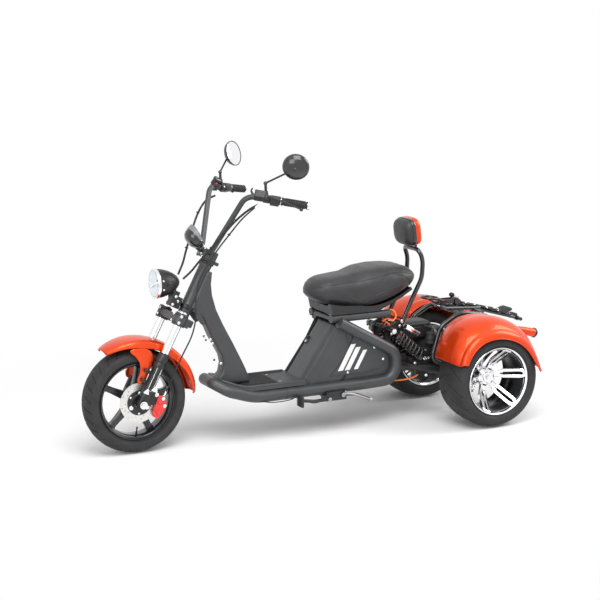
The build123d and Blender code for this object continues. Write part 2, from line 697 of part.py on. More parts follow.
@lru_cache
def backrest_bar():
    """Bent tube up the back of the seat, with two studs into the backrest's shell."""
    top = DECK_Z + BACK_RISE - BACK_H / 2 - BACK_BAR_D / 2 - 6
    left = [(LOOP_X - 59, BACK_BAR_Y, SEAT_RAIL_Z - 62), (LOOP_X - 115, BACK_BAR_Y, SEAT_RAIL_Z + 50),
            (BACK_BAR_X + 1, BACK_BAR_Y, SEAT_RAIL_Z + 150), (BACK_BAR_X - 3, BACK_BAR_Y, top - 52),
            (BACK_BAR_X + 19, BACK_BAR_Y, top)]
    right = [(x, -y, z) for x, y, z in reversed(left)]
    bar = pipe(left + right, BACK_BAR_D, [300, 120, 120, 30, 30, 120, 120, 300])
    return bar + both(rod((BACK_BAR_X + 19, 40, top), (BACK_BAR_X + 19, 40, top + 34), 14))


def backrest_slab(forward, thickness, edge):
    """A rounded slab of the backrest, its middle forward of the shell's middle."""
    face = Plane.YZ * RectangleRounded(BACK_W, BACK_H, BACK_ROUND)
    slab = extrude(face, thickness / 2, both=True)
    slab = fillet(slab.edges(), edge)
    return Pos(BACK_X, 0, DECK_Z + BACK_RISE) * Rot(0, BACK_TILT, 0) * Pos(forward, 0, 0) * slab


def backrest_shell():
    """Painted shell behind the pad."""
    return backrest_slab(0, SHELL_T, 8) - backrest_bar()


def backrest_pad():
    """Cushion in front of the shell."""
    return backrest_slab(SHELL_T / 2 + CLEAR + PAD_T / 2, PAD_T, 20) - backrest_bar()


def rear_frame():
    """Pivot tube, shock crossbar and the plates that carry the backrest's bar."""
    inside = DECK_Y - DECK_R
    pivot = Pos(*PIVOT) * lying(PIVOT_R, 2 * inside + 2)
    cross = Pos(LOOP_X + 11, 0, DECK_Z + 238) * lying(13, 2 * (inside + 29))
    upright = shifted([(9, 71), (29, 238), (11, 256), (-6, 251), (-11, 71)], LOOP_X, DECK_Z)
    bracket = shifted([(19, 226), (21, 252), (-51, 278), (-73, 260), (-61, 248)], LOOP_X, DECK_Z)
    shape = pivot + cross + both(side_plate(upright, 50, 58))
    shape += both(side_plate(bracket, BACK_BAR_Y - 5, BACK_BAR_Y + 5))
    return shape - deck_tube() - backrest_bar()


# ---------------------------------------------------------------- rear end
@lru_cache
def swing_arm():
    """Arms from the frame's pivot tube back to the axle housing."""
    side = HOOP_Y - 2
    line = [(PIVOT.X - 19, 76, PIVOT.Z), (PIVOT.X - 91, 78, REAR_TYRE_R + 34),
            (110, side, REAR_TYRE_R + 8), (40, side, REAR_TYRE_R)]
    arm = pipe(line, ARM_D, [120, 120])
    eye = Pos(*PIVOT) * lying(PIVOT_R + 10, 24, 76)
    mount = side_plate(shifted([(250, 34), (246, 84), (212, 84), (200, 22)], 0, REAR_TYRE_R), 92, 100)
    cross = Pos(226, 0, REAR_TYRE_R + 34) * lying(15, 200)
    return both(arm + eye + mount) + cross - Pos(*PIVOT) * lying(PIVOT_R + CLEAR, 400) - rear_drive()


@lru_cache
def rear_drive():
    """Axle housing with its differential, and the motor that drives it."""
    shape = Pos(*REAR_AXLE) * (lying(HOUSING_R, 2 * HOUSING_HALF) + lying(88, 96) + lying(60, 150))
    shape += Pos(150, 0, REAR_TYRE_R + 102) * lying(62, 150) + block((90, 0, REAR_TYRE_R + 57), (120, 60, 60))
    for side in (-1, 1):
        shape -= Pos(*REAR_AXLE) * lying(REAR_AXLE_R + 1, 30, side * (HOUSING_HALF - 14))
    return shape


def rear_axle(side):
    """Half shaft with the flange that the wheel bolts to."""
    inner = HOUSING_HALF - 22
    hub_face = WHEEL_Y - REAR_DISH - REAR_HUB_W / 2
    shaft = lying(REAR_AXLE_R, WHEEL_Y - inner, side * (WHEEL_Y + inner) / 2)
    flange = lying(REAR_HUB_R - 2, 12, side * (hub_face - CLEAR - 6)) + lying(30, 20, side * (hub_face - 20))
    return Pos(*REAR_AXLE) * (shaft + flange)


def shocks():
    """Coil spring round a damper, with an eye at each end."""
    top = Vector(LOOP_X + 11, SHOCK_Y, DECK_Z + 238)
    low = Vector(228, SHOCK_Y, REAR_TYRE_R + 75)
    run = (low - top).normalized()
    length = (low - top).length
    cup = SPRING_R + 5
    shape = rod(top + run * 8, low - run * 8, 20)
    shape += rod(top + run * 20, top + run * 34, 2 * cup) + rod(low - run * 34, low - run * 20, 2 * cup)
    coil = length - 68
    helix = Helix(pitch=coil / SPRING_TURNS, height=coil, radius=SPRING_R)
    wire = Plane(origin=helix @ 0, z_dir=helix % 0) * Circle(SPRING_WIRE / 2)
    shape += Plane(origin=top + run * 34, z_dir=run) * sweep(wire, path=helix, is_frenet=True)
    for end in (top, low):
        shape += Pos(*end) * Cylinder(16, 22, rotation=(90, 0, 0))
    return both(shape - Pos(*top) * Cylinder(13.5, 40, rotation=(90, 0, 0)))


def controller_box():
    """Electronics case between the rear frame and the hoops."""
    return block((235, 0, REAR_TYRE_R + 192), (170, 120, 56), round_by=6)


# degrees about the rear axle, from straight ahead, and a radius
FENDER_CROWN = [(24, 262), (40, 286), (60, 302), (80, 300), (100, 294), (130, 286), (150, 278), (172, 266)]
FENDER_INNER = [(24, 214), (40, 232), (60, 268), (80, 279), (100, 276), (130, 262), (150, 250), (172, 240)]
FENDER_LIP = [(24, 214), (47, 224), (64, 224), (81, 216), (102, 208), (123, 204), (145, 203), (160, 208),
              (172, 222)]


def between(table, angle):
    """Straight-line value of a table of (angle, value)."""
    for (low, first), (high, second) in zip(table, table[1:]):
        if angle <= high:
            return first + (second - first) * (angle - low) / (high - low)
    return table[-1][1]


def fender_section(angle):
    """(y, radius) points across a rear fender at an angle about its axle."""
    crown, inner, lip = (between(table, angle) for table in (FENDER_CROWN, FENDER_INNER, FENDER_LIP))
    width, drop = FENDER_OUT - FENDER_IN, crown - lip
    return [(FENDER_IN, inner), (FENDER_IN + 0.12 * width, inner + 0.62 * (crown - inner)),
            (FENDER_IN + 0.28 * width, crown - 4), (FENDER_IN + 0.46 * width, crown),
            (FENDER_IN + 0.645 * width, crown - 7), (FENDER_IN + 0.81 * width, crown - 0.34 * drop),
            (FENDER_IN + 0.913 * width, crown - 0.62 * drop), (FENDER_IN + 0.97 * width, lip + 0.16 * drop),
            (FENDER_OUT, lip)]


POD_Y = FENDER_IN + 0.44 * (FENDER_OUT - FENDER_IN)
POD_TIP = Vector(-286, POD_Y, REAR_TYRE_R + 184)
POD_ROOT = Vector(-130, POD_Y, REAR_TYRE_R + 224)


def rear_fenders():
    """Flared fenders, each with a long pod on its back that carries a lamp."""
    low, high = FENDER_CROWN[0][0], FENDER_CROWN[-1][0]
    steps = 15
    rows = []
    for step in range(steps + 1):
        angle = low + (high - low) * step / steps
        turn = math.radians(angle)
        rows.append([(radius * math.cos(turn), y, REAR_TYRE_R + radius * math.sin(turn))
                     for y, radius in fender_section(angle)])
    return both(spline_shell(rows, FENDER_WALL) + rod(POD_ROOT, POD_TIP, 2 * POD_R))


def tail_lamps():
    """Red lamps on the pods' ends."""
    run = (POD_TIP - POD_ROOT).normalized()
    return both(rod(POD_TIP + run * CLEAR, POD_TIP + run * 12.5, 2 * POD_R - 6))


def fender_hoop():
    """Tube bent over the axle beside a fender's inner edge."""
    places = [(96, 8), (196, 72), (150, 224), (40, 284), (-120, 258), (-212, 132), (-70, 8)]
    points = [(x, HOOP_Y, REAR_TYRE_R + z) for x, z in places]
    return pipe(points, HOOP_D, [40, 70, 120, 120, 60])


def rear_carrier():
    """Hoops over the axle, with the bag carrier's crossbars, rails, hinge ears and rearward arms.

    The arms end on a tube whose two bare ends, beside collars, take a strap or a hook.
    """
    tube_r = RACK_TUBE_D / 2
    arm_y = ARM_SPAN / 2
    tail = Vector(PEG_COLLAR_R - TAIL_REACH, 0, REAR_TYRE_R + 203)
    collar_w = RACK_TUBE_D + 2
    shape = both(fender_hoop()) + rack_hinge()
    for x, rise in ((40, 6), (-90, -4)):
        shape += Pos(x, 0, RACK_Z + rise) * lying(tube_r, 2 * HOOP_Y)
    shape += both(rod((70, 48, RACK_Z + 16), (-130, 48, RACK_Z + 2), RACK_TUBE_D))
    shape += both(rod((-56, arm_y, RACK_Z + 15), tail + Vector(0, arm_y, 0), RACK_TUBE_D - 2))
    pegs = lying(tube_r, ARM_SPAN + collar_w + 2 * PEG_L) + both(lying(PEG_COLLAR_R, collar_w, arm_y))
    shape += Pos(*tail) * pegs
    shape += Pos(-56, 0, RACK_Z + 15) * lying(tube_r, 90)
    return shape - swing_arm()


def rack_cradle():
    """Upper arm of the carrier, folded forward, with its strap ring."""
    body = block((53, 0, RACK_Z + 52), (130, 34, 14), round_by=3)
    loop = Pos(150, 0, RACK_Z + 62) * (Cylinder(46, 10) - Cylinder(36, 12))
    return body + loop + block((112, 0, RACK_Z + 59), (20, 24, 10)) + Pos(-14, 0, RACK_Z + 46) * lying(10, 34)


def rack_hinge():
    """Ears that hold the folding arm."""
    outline = shifted([(-56, 8), (-30, 48), (-14, 58), (0, 48), (0, 32), (-30, 8)], 0, RACK_Z)
    return both(side_plate(outline, 19, 25))


def foot_controls():
    """Brake pedal and parking lever on a bracket under the left deck tube."""
    side = DECK_Y + DECK_R + 11
    x, z = LOOP_X + 341, DECK_Z
    pad = block((x + 198, side + 16, z - 32), (12, 50, 50), round_by=3)
    arm = pipe([(x + 194, side, z - 32), (x + 118, side, z - 44), (x + 8, side, z - 42)], 16, [60])
    plate = block((x, side - 6, z - 26), (106, 8, 36))
    box = block((x, side - 30, z - 41), (106, 56, 24))
    lever = pipe([(x - 32, side, z - 28), (x - 102, side, z - 34), (x - 167, side, z - 62)], 14, [80])
    return pad + arm + plate + box + lever - deck_tube()


def save(name, shape):
    """Writes one part, moved so that the model's origin is under the middle of its length."""
    export_step(Pos(SHIFT_X, 0, 0) * shape, f"parts/{name}.step")


PARTS = {
    "front_tyre": front_tyre,
    "front_rim": front_rim,
    "brake_disc": brake_disc,
    "rear_tyre_left": lambda: rear_tyre(1),
    "rear_tyre_right": lambda: rear_tyre(-1),
    "rear_rim_left": lambda: rear_rim(1),
    "rear_rim_right": lambda: rear_rim(-1),
    "rear_axle_left": lambda: rear_axle(1),
    "rear_axle_right": lambda: rear_axle(-1),
    "steering_stem": steering_stem,
    "fork_tubes": fork_tubes,
    "fork_sliders": fork_sliders,
    "front_axle": front_axle,
    "front_caliper": front_caliper,
    "front_fender": front_fender,
    "headlight": headlight,
    "headlight_lens": headlight_lens,
    "headlight_bracket": headlight_bracket,
    "handlebar": handlebar,
    "grips": grips,
    "hand_controls": hand_controls,
    "mirrors": mirrors,
    "mirror_glass": mirror_glass,
    "speedometer": speedometer,
    "cables": cables,
    "neck": neck,
    "deck_tube": deck_tube,
    "deck_floor": deck_floor,
    "seat_frame": seat_frame,
    "side_panels": side_panels,
    "battery_box": battery_box,
    "seat": seat,
    "seat_base": seat_base,
    "backrest_bar": backrest_bar,
    "backrest_shell": backrest_shell,
    "backrest_pad": backrest_pad,
    "rear_frame": rear_frame,
    "swing_arm": swing_arm,
    "rear_drive": rear_drive,
    "shocks": shocks,
    "controller_box": controller_box,
    "rear_fenders": rear_fenders,
    "rear_carrier": rear_carrier,
    "rack_cradle": rack_cradle,
    "tail_lamps": tail_lamps,
    "foot_controls": foot_controls,
}

os.makedirs("parts", exist_ok=True)
for name, make in PARTS.items():
    save(name, make())
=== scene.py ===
"""The looks of the motor trike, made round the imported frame.

Most places are written in millimetres from the floor under the rear axle, and ROW turns them into
the frame's metres. Places on the steered part are written along, in front of and to the left of
the steering axis, and fork() gives them in the frame.
"""
import json
import math
import random

import bmesh
import bpy
from mathutils import Matrix, Vector
from mathutils.bvhtree import BVHTree


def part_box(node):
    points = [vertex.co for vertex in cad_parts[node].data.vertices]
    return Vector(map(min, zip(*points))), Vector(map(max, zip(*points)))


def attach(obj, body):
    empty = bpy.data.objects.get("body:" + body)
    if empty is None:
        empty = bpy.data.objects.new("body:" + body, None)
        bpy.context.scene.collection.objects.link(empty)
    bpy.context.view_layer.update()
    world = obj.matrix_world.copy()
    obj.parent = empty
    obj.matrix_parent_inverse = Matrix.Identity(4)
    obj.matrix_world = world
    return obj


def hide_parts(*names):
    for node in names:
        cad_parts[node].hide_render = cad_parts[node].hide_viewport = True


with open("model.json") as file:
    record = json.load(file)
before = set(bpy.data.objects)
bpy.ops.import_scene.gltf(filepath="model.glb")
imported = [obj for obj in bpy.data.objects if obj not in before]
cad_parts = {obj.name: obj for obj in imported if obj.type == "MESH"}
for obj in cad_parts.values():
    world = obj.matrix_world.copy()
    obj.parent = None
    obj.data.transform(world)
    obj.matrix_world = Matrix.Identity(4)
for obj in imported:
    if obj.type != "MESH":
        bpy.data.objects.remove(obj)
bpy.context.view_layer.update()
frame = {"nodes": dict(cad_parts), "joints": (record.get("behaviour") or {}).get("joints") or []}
MM = 0.001
random.seed(7)


# ---------------------------------------------------------------- places
def middle(node):
    """Middle of a CAD node's box."""
    low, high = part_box(node)
    return (low + high) / 2


REAR_HUB = middle("rear_axle_left")
FRONT_HUB = middle("front_axle")
REAR_R = REAR_HUB.z / MM
FRONT_R = FRONT_HUB.z / MM
WHEELBASE = (FRONT_HUB.x - REAR_HUB.x) / MM
REAR_Y = middle("rear_tyre_left").y / MM
LEG_OFFSET = 48.0
LEG_Y = 95.0

STEERING = next(joint for joint in frame["joints"] if joint["name"] == "steering_turn")
UP = Vector(STEERING["axis"]).normalized()
FORE = Vector((UP.z, 0, -UP.x))
FOOT = Vector((FRONT_HUB.x, 0, FRONT_HUB.z)) - FORE * LEG_OFFSET * MM
SIDE = Vector((0, 1, 0))
RAW = Matrix.Identity(4)
ROW = Matrix.Translation((REAR_HUB.x, 0, 0)) @ Matrix.Scale(MM, 4)


def at(x, y, z):
    """Millimetres from the floor under the rear axle, in the frame."""
    return ROW @ Vector((x, y, z))


def fork(up, fore, y=0.0):
    """Millimetres along the steering axis, in front of it and to its left, in the frame."""
    return FOOT + (UP * up + FORE * fore + SIDE * y) * MM


def spot(origin, z=(0, 0, 1), x=(1, 0, 0)):
    """A place with directions of its own: millimetres there to metres in the frame."""
    z = Vector(z).normalized()
    x = Vector(x)
    if abs(x.normalized().dot(z)) > 0.98:
        x = Vector((0, 0, 1)) if abs(z.z) < 0.9 else Vector((0, 1, 0))
    x = (x - z * x.dot(z)).normalized()
    turn = Matrix((x, z.cross(x), z)).transposed().to_4x4()
    return Matrix.Translation(origin) @ turn @ Matrix.Scale(MM, 4)


FORK = spot(FOOT, UP, FORE)
FRONT_WHEEL = spot(FRONT_HUB, SIDE, (1, 0, 0))
REAR_WHEEL = {1: spot(at(0, REAR_Y, REAR_R), SIDE, (1, 0, 0)),
              -1: spot(at(0, -REAR_Y, REAR_R), -SIDE, (1, 0, 0))}


# ---------------------------------------------------------------- shapes
class Form:
    """Points and faces that become one piece."""

    def __init__(self):
        self.points, self.faces = [], []

    def loft(self, rings, place=ROW, loop=False, caps=True, sheet=False):
        """Skins rings of points. loop joins the last ring to the first, sheet leaves rings open."""
        base, count = len(self.points), len(rings[0])
        for ring in rings:
            self.points += [place @ Vector(point) for point in ring]
        last = len(rings) if loop else len(rings) - 1
        for i in range(last):
            a, b = base + i * count, base + (i + 1) % len(rings) * count
            for j in range(count - 1 if sheet else count):
                k = (j + 1) % count
                self.faces.append((a + j, a + k, b + k, b + j))
        if caps and not loop and not sheet:
            end = base + (len(rings) - 1) * count
            self.faces.append(tuple(base + j for j in reversed(range(count))))
            self.faces.append(tuple(end + j for j in range(count)))
        return self

    def turned(self, profile, place=ROW, segments=64, loop=False, caps=True):
        """Turns (radius, along) points about the place's z axis."""
        rings = []
        for radius, along in profile:
            ring = []
            for i in range(segments):
                turn = math.tau * i / segments
                ring.append((radius * math.cos(turn), radius * math.sin(turn), along))
            rings.append(ring)
        return self.loft(rings, place, loop, caps)

    def tube(self, path, radius, sides=14, caps=True, loop=False, place=ROW, flat=1.0):
        """Sweeps a circle along a path; radius is a number or a function of the share of the path."""
        path = [Vector(point) for point in path]
        count = len(path)
        runs = []
        for i in range(count):
            before = path[i - 1] if i or loop else path[0]
            after = path[(i + 1) % count] if i + 1 < count or loop else path[-1]
            runs.append((after - before).normalized())
        normal = runs[0].orthogonal().normalized()
        if abs(runs[0].y) < 0.7:
            normal = (SIDE - runs[0] * runs[0].y).normalized()
        rings = []
        for i, (point, run) in enumerate(zip(path, runs)):
            normal = (normal - run * normal.dot(run)).normalized()
            other = run.cross(normal)
            size = radius(i / max(1, count - 1)) if callable(radius) else radius
            ring = []
            for j in range(sides):
                turn = math.tau * j / sides
                ring.append(point + normal * size * math.cos(turn) + other * size * flat * math.sin(turn))
            rings.append(ring)
        return self.loft(rings, place, loop, caps)

    def slab(self, outline, low, high, place=ROW):
        """A plate with an outline of (x, y) points between two heights along the place's z axis."""
        rings = [[(x, y, level) for x, y in outline] for level in (low, high)]
        return self.loft(rings, place)

    def side_slab(self, outline, low, high):
        """A plate with an outline of (x, z) points between two places in Y."""
        return self.loft([[(x, y, z) for x, z in outline] for y in (low, high)], ROW)

    def block(self, size, place=ROW, middle_at=(0, 0, 0), round_by=0.0):
        """A box about a point; its upright edges are rounded."""
        x, y, z = size
        mx, my, mz = middle_at
        outline = [(px + mx, py + my) for px, py in rounded_rectangle(x, y, round_by)]
        return self.slab(outline, mz - z / 2, mz + z / 2, place)

    def copy_mirrored(self):
        """Adds the same shape on the other side of the middle plane."""
        base = len(self.points)
        self.points += [Vector((p.x, -p.y, p.z)) for p in self.points[:base]]
        self.faces += [tuple(base + i for i in reversed(face)) for face in self.faces[:]]
        return self

    def join(self, other):
        """Adds another form's points and faces."""
        base = len(self.points)
        self.points += other.points
        self.faces += [tuple(base + i for i in face) for face in other.faces]
        return self


def rounded_rectangle(width, height, radius, steps=5):
    """Outline of a rectangle with round corners, about the origin."""
    if radius <= 0:
        return [(-width / 2, -height / 2), (width / 2, -height / 2), (width / 2, height / 2), (-width / 2, height / 2)]
    radius = min(radius, width / 2, height / 2)
    points = []
    for quarter, (sx, sy) in enumerate(((1, -1), (1, 1), (-1, 1), (-1, -1))):
        for i in range(steps + 1):
            turn = math.radians(-90 + 90 * quarter + 90 * i / steps)
            points.append((sx * (width / 2 - radius) + radius * math.cos(turn),
                           sy * (height / 2 - radius) + radius * math.sin(turn)))
    return points


def flow(points, steps=6, loop=False):
    """A smooth line through points."""
    points = [Vector(p) for p in points]
    count = len(points)
    line = []
    for i in range(count if loop else count - 1):
        p1, p2 = points[i], points[(i + 1) % count]
        p0 = points[i - 1] if i or loop else p1 * 2 - p2
        p3 = points[(i + 2) % count] if i + 2 < count or loop else p2 * 2 - p1
        for k in range(steps):
            t = k / steps
            line.append(0.5 * (2 * p1 + (p2 - p0) * t + (2 * p0 - 5 * p1 + 4 * p2 - p3) * t * t
                               + (3 * p1 - p0 - 3 * p2 + p3) * t ** 3))
    if not loop:
        line.append(points[-1])
    return line


def smooth_ring(outline, steps):
    """A smooth closed outline through (x, z) points."""
    return [(p.x, p.y) for p in flow([(x, z, 0) for x, z in outline], steps, loop=True)]


def bent(points, radii, steps=8):
    """Straight runs joined by arcs, one radius for each corner."""
    points = [Vector(p) for p in points]
    line = [points[0]]
    for before, here, after, radius in zip(points, points[1:], points[2:], radii):
        u, v = (before - here).normalized(), (after - here).normalized()
        half = u.angle(v) / 2
        middle_way = (u + v).normalized()
        centre = here + middle_way * radius / math.sin(half)
        start = here + u * radius / math.tan(half)
        end = here + v * radius / math.tan(half)
        a, b = start - centre, end - centre
        turn = a.angle(b)
        for k in range(steps + 1):
            t = k / steps
            line.append(centre + (a * math.sin((1 - t) * turn) + b * math.sin(t * turn)) / math.sin(turn))
    line.append(points[-1])
    return line


def value(table, key):
    """Smooth value of a table of (key, value) pairs."""
    if key <= table[0][0]:
        return table[0][1]
    for (low, first), (high, second) in zip(table, table[1:]):
        if key <= high:
            t = (key - low) / (high - low)
            t = t * t * (3 - 2 * t)
            return first + (second - first) * t
    return table[-1][1]


def straight(table, key):
    """Straight-line value of such a table."""
    for (low, first), (high, second) in zip(table, table[1:]):
        if key <= high:
            return first + (second - first) * max(0.0, key - low) / (high - low)
    return table[-1][1]


def piece(name, form, finish, body, replaces=(), bevel=0.0, crease=32, subdivide=0, solid=0.0):
    """Makes one object from a form and seats it on its body."""
    mesh = bpy.data.meshes.new(name)
    mesh.from_pydata([tuple(p) for p in form.points], [], form.faces)
    work = bmesh.new()
    work.from_mesh(mesh)
    bmesh.ops.remove_doubles(work, verts=work.verts, dist=2e-6)
    bmesh.ops.recalc_face_normals(work, faces=work.faces)
    work.to_mesh(mesh)
    work.free()
    mesh.materials.append(FINISH[finish])
    mesh.polygons.foreach_set("use_smooth", [True] * len(mesh.polygons))
    mesh.set_sharp_from_angle(angle=math.radians(crease))
    thing = bpy.data.objects.new(name, mesh)
    bpy.context.scene.collection.objects.link(thing)
    if solid:
        shell = thing.modifiers.new("wall", "SOLIDIFY")
        shell.thickness = solid * MM
        shell.offset = -1
    if bevel:
        edge = thing.modifiers.new("edges", "BEVEL")
        edge.width = bevel * MM
        edge.segments = 2
        edge.limit_method = "ANGLE"
        edge.angle_limit = math.radians(crease)
        edge.harden_normals = True
    if subdivide:
        finer = thing.modifiers.new("finer", "SUBSURF")
        finer.levels = finer.render_levels = subdivide
    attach(thing, body)
    if replaces:
        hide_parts(*replaces)
    return thing


# ---------------------------------------------------------------- finishes
class Paint:
    """A node material being put together."""

    def __init__(self, name, colour, rough, metal=0.0, **more):
        self.material = bpy.data.materials.new(name)
        self.material.use_nodes = True
        self.nodes = self.material.node_tree.nodes
        self.links = self.material.node_tree.links
        self.shader = self.nodes["Principled BSDF"]
        self.shader.inputs["Base Color"].default_value = (*colour, 1)
        self.shader.inputs["Roughness"].default_value = rough
        self.shader.inputs["Metallic"].default_value = metal
        for words, number in more.items():
            self.shader.inputs[words.replace("_", " ")].default_value = number
        self.place = self.nodes.new("ShaderNodeTexCoord").outputs["Object"]
        self.normal = None

    def noise(self, scale, detail=3.0, where=None):
        """Cloudy values from 0 to 1; scale is in cells for each metre."""
        node = self.nodes.new("ShaderNodeTexNoise")
        node.inputs["Scale"].default_value = scale
        node.inputs["Detail"].default_value = detail
        self.links.new(where or self.place, node.inputs["Vector"])
        return node.outputs["Fac"]

    def cells(self, scale, feature="F1"):
        """Distances in a pattern of cells."""
        node = self.nodes.new("ShaderNodeTexVoronoi")
        node.feature = feature
        node.inputs["Scale"].default_value = scale
        self.links.new(self.place, node.inputs["Vector"])
        return node.outputs["Distance"]

    def round_lines(self, centre, scale):
        """Fine lines turned about a wheel's axle."""
        shift = self.nodes.new("ShaderNodeVectorMath")
        shift.operation = "SUBTRACT"
        shift.inputs[1].default_value = centre
        self.links.new(self.place, shift.inputs[0])
        level = self.nodes.new("ShaderNodeVectorMath")
        level.operation = "MULTIPLY"
        level.inputs[1].default_value = (1, 0, 1)
        self.links.new(shift.outputs[0], level.inputs[0])
        reach = self.nodes.new("ShaderNodeVectorMath")
        reach.operation = "LENGTH"
        self.links.new(level.outputs[0], reach.inputs[0])
        node = self.nodes.new("ShaderNodeTexNoise")
        node.noise_dimensions = "1D"
        node.inputs["Scale"].default_value = scale
        node.inputs["Detail"].default_value = 2
        self.links.new(reach.outputs["Value"], node.inputs["W"])
        return node.outputs["Fac"]

    def between(self, share, low, high, first=0.3, last=0.7):
        """A number or colour that follows a texture."""
        node = self.nodes.new("ShaderNodeValToRGB")
        node.color_ramp.elements[0].position = first
        node.color_ramp.elements[1].position = last
        for stop, tone in zip(node.color_ramp.elements, (low, high)):
            stop.color = (*tone, 1) if isinstance(tone, tuple) else (tone, tone, tone, 1)
        self.links.new(share, node.inputs["Fac"])
        return node.outputs["Color"]

    def vary(self, socket, share, low, high, first=0.3, last=0.7):
        """Lets a texture drive one of the shader's sockets."""
        self.links.new(self.between(share, low, high, first, last), self.shader.inputs[socket])
        return self

    def bump(self, share, strength, depth):
        """Raises the surface by a texture, depth in millimetres."""
        node = self.nodes.new("ShaderNodeBump")
        node.inputs["Strength"].default_value = strength
        node.inputs["Distance"].default_value = depth * MM
        self.links.new(share, node.inputs["Height"])
        if self.normal:
            self.links.new(self.normal, node.inputs["Normal"])
        self.normal = node.outputs["Normal"]
        self.links.new(self.normal, self.shader.inputs["Normal"])
        return self


def shade(tone, factor):
    """A colour made lighter or darker."""
    return tuple(min(1.0, part * factor) for part in tone)


def satin(name, tone, rough, grain=1400.0, depth=0.12, **more):
    """Powder coat or moulded plastic: a fine orange-peel skin and faint wear in the tone."""
    paint = Paint(name, tone, rough, **more)
    paint.vary("Base Color", paint.noise(9, 5), shade(tone, 0.86), shade(tone, 1.14))
    paint.vary("Roughness", paint.noise(26, 4), rough - 0.06, rough + 0.07)
    paint.bump(paint.noise(grain, 2), 0.35, depth)
    return paint.material


def rubber(name, tone, rough, centre=None):
    """Tyre or grip rubber: matt, dusty in places, with a fine skin."""
    paint = Paint(name, tone, rough, Specular_IOR_Level=0.35)
    paint.vary("Base Color", paint.noise(14, 6), shade(tone, 0.8), shade(tone, 1.3))
    paint.vary("Roughness", paint.noise(40, 4), rough - 0.08, rough + 0.08)
    paint.bump(paint.noise(900, 3), 0.3, 0.3)
    if centre:
        paint.bump(paint.round_lines(centre, 420), 0.25, 0.25)
    return paint.material


def metal(name, tone, rough, spread=0.03, centre=None, **more):
    """Bright metal, with faint smears in its polish."""
    paint = Paint(name, tone, rough, 1.0, **more)
    paint.vary("Roughness", paint.noise(30, 5), max(0.02, rough - spread), rough + spread)
    if centre:
        paint.bump(paint.round_lines(centre, 1500), 0.3, 0.05)
    else:
        paint.bump(paint.noise(160, 3), 0.04, 0.2)
    return paint.material


def candy(name):
    """Orange metallic lacquer under a clear coat, with fine flakes."""
    tone = (0.74, 0.052, 0.002)
    paint = Paint(name, tone, 0.3, 0.6, Coat_Weight=0.45, Coat_Roughness=0.04, Specular_IOR_Level=0.25)
    paint.vary("Base Color", paint.noise(5, 3), (0.68, 0.043, 0.0015), (0.80, 0.062, 0.0025))
    paint.vary("Roughness", paint.cells(2600), 0.22, 0.4, 0.1, 0.6)
    paint.bump(paint.noise(2400, 1), 0.12, 0.05)
    return paint.material


def leather(name, tone):
    """Black grained leathercloth."""
    paint = Paint(name, tone, 0.48, Sheen_Weight=0.12, Sheen_Roughness=0.4)
    paint.vary("Base Color", paint.noise(11, 5), shade(tone, 0.8), shade(tone, 1.35))
    paint.vary("Roughness", paint.noise(55, 4), 0.4, 0.56)
    paint.bump(paint.noise(260, 4), 0.25, 0.4)
    paint.bump(paint.cells(620, "DISTANCE_TO_EDGE"), 0.5, 0.28)
    return paint.material


def glassy(name, tone, rough=0.02, **more):
    """Clear or tinted plastic with faint moulded flutes."""
    paint = Paint(name, tone, rough, Transmission_Weight=1.0, **more)
    paint.vary("Roughness", paint.noise(60, 3), rough, rough + 0.05)
    paint.bump(paint.noise(90, 2), 0.05, 0.2)
    return paint.material


FRONT_CENTRE = tuple(FRONT_HUB)
REAR_CENTRE = (REAR_HUB.x, 0, REAR_HUB.z)
FRAME_TONE = (0.038, 0.040, 0.043)

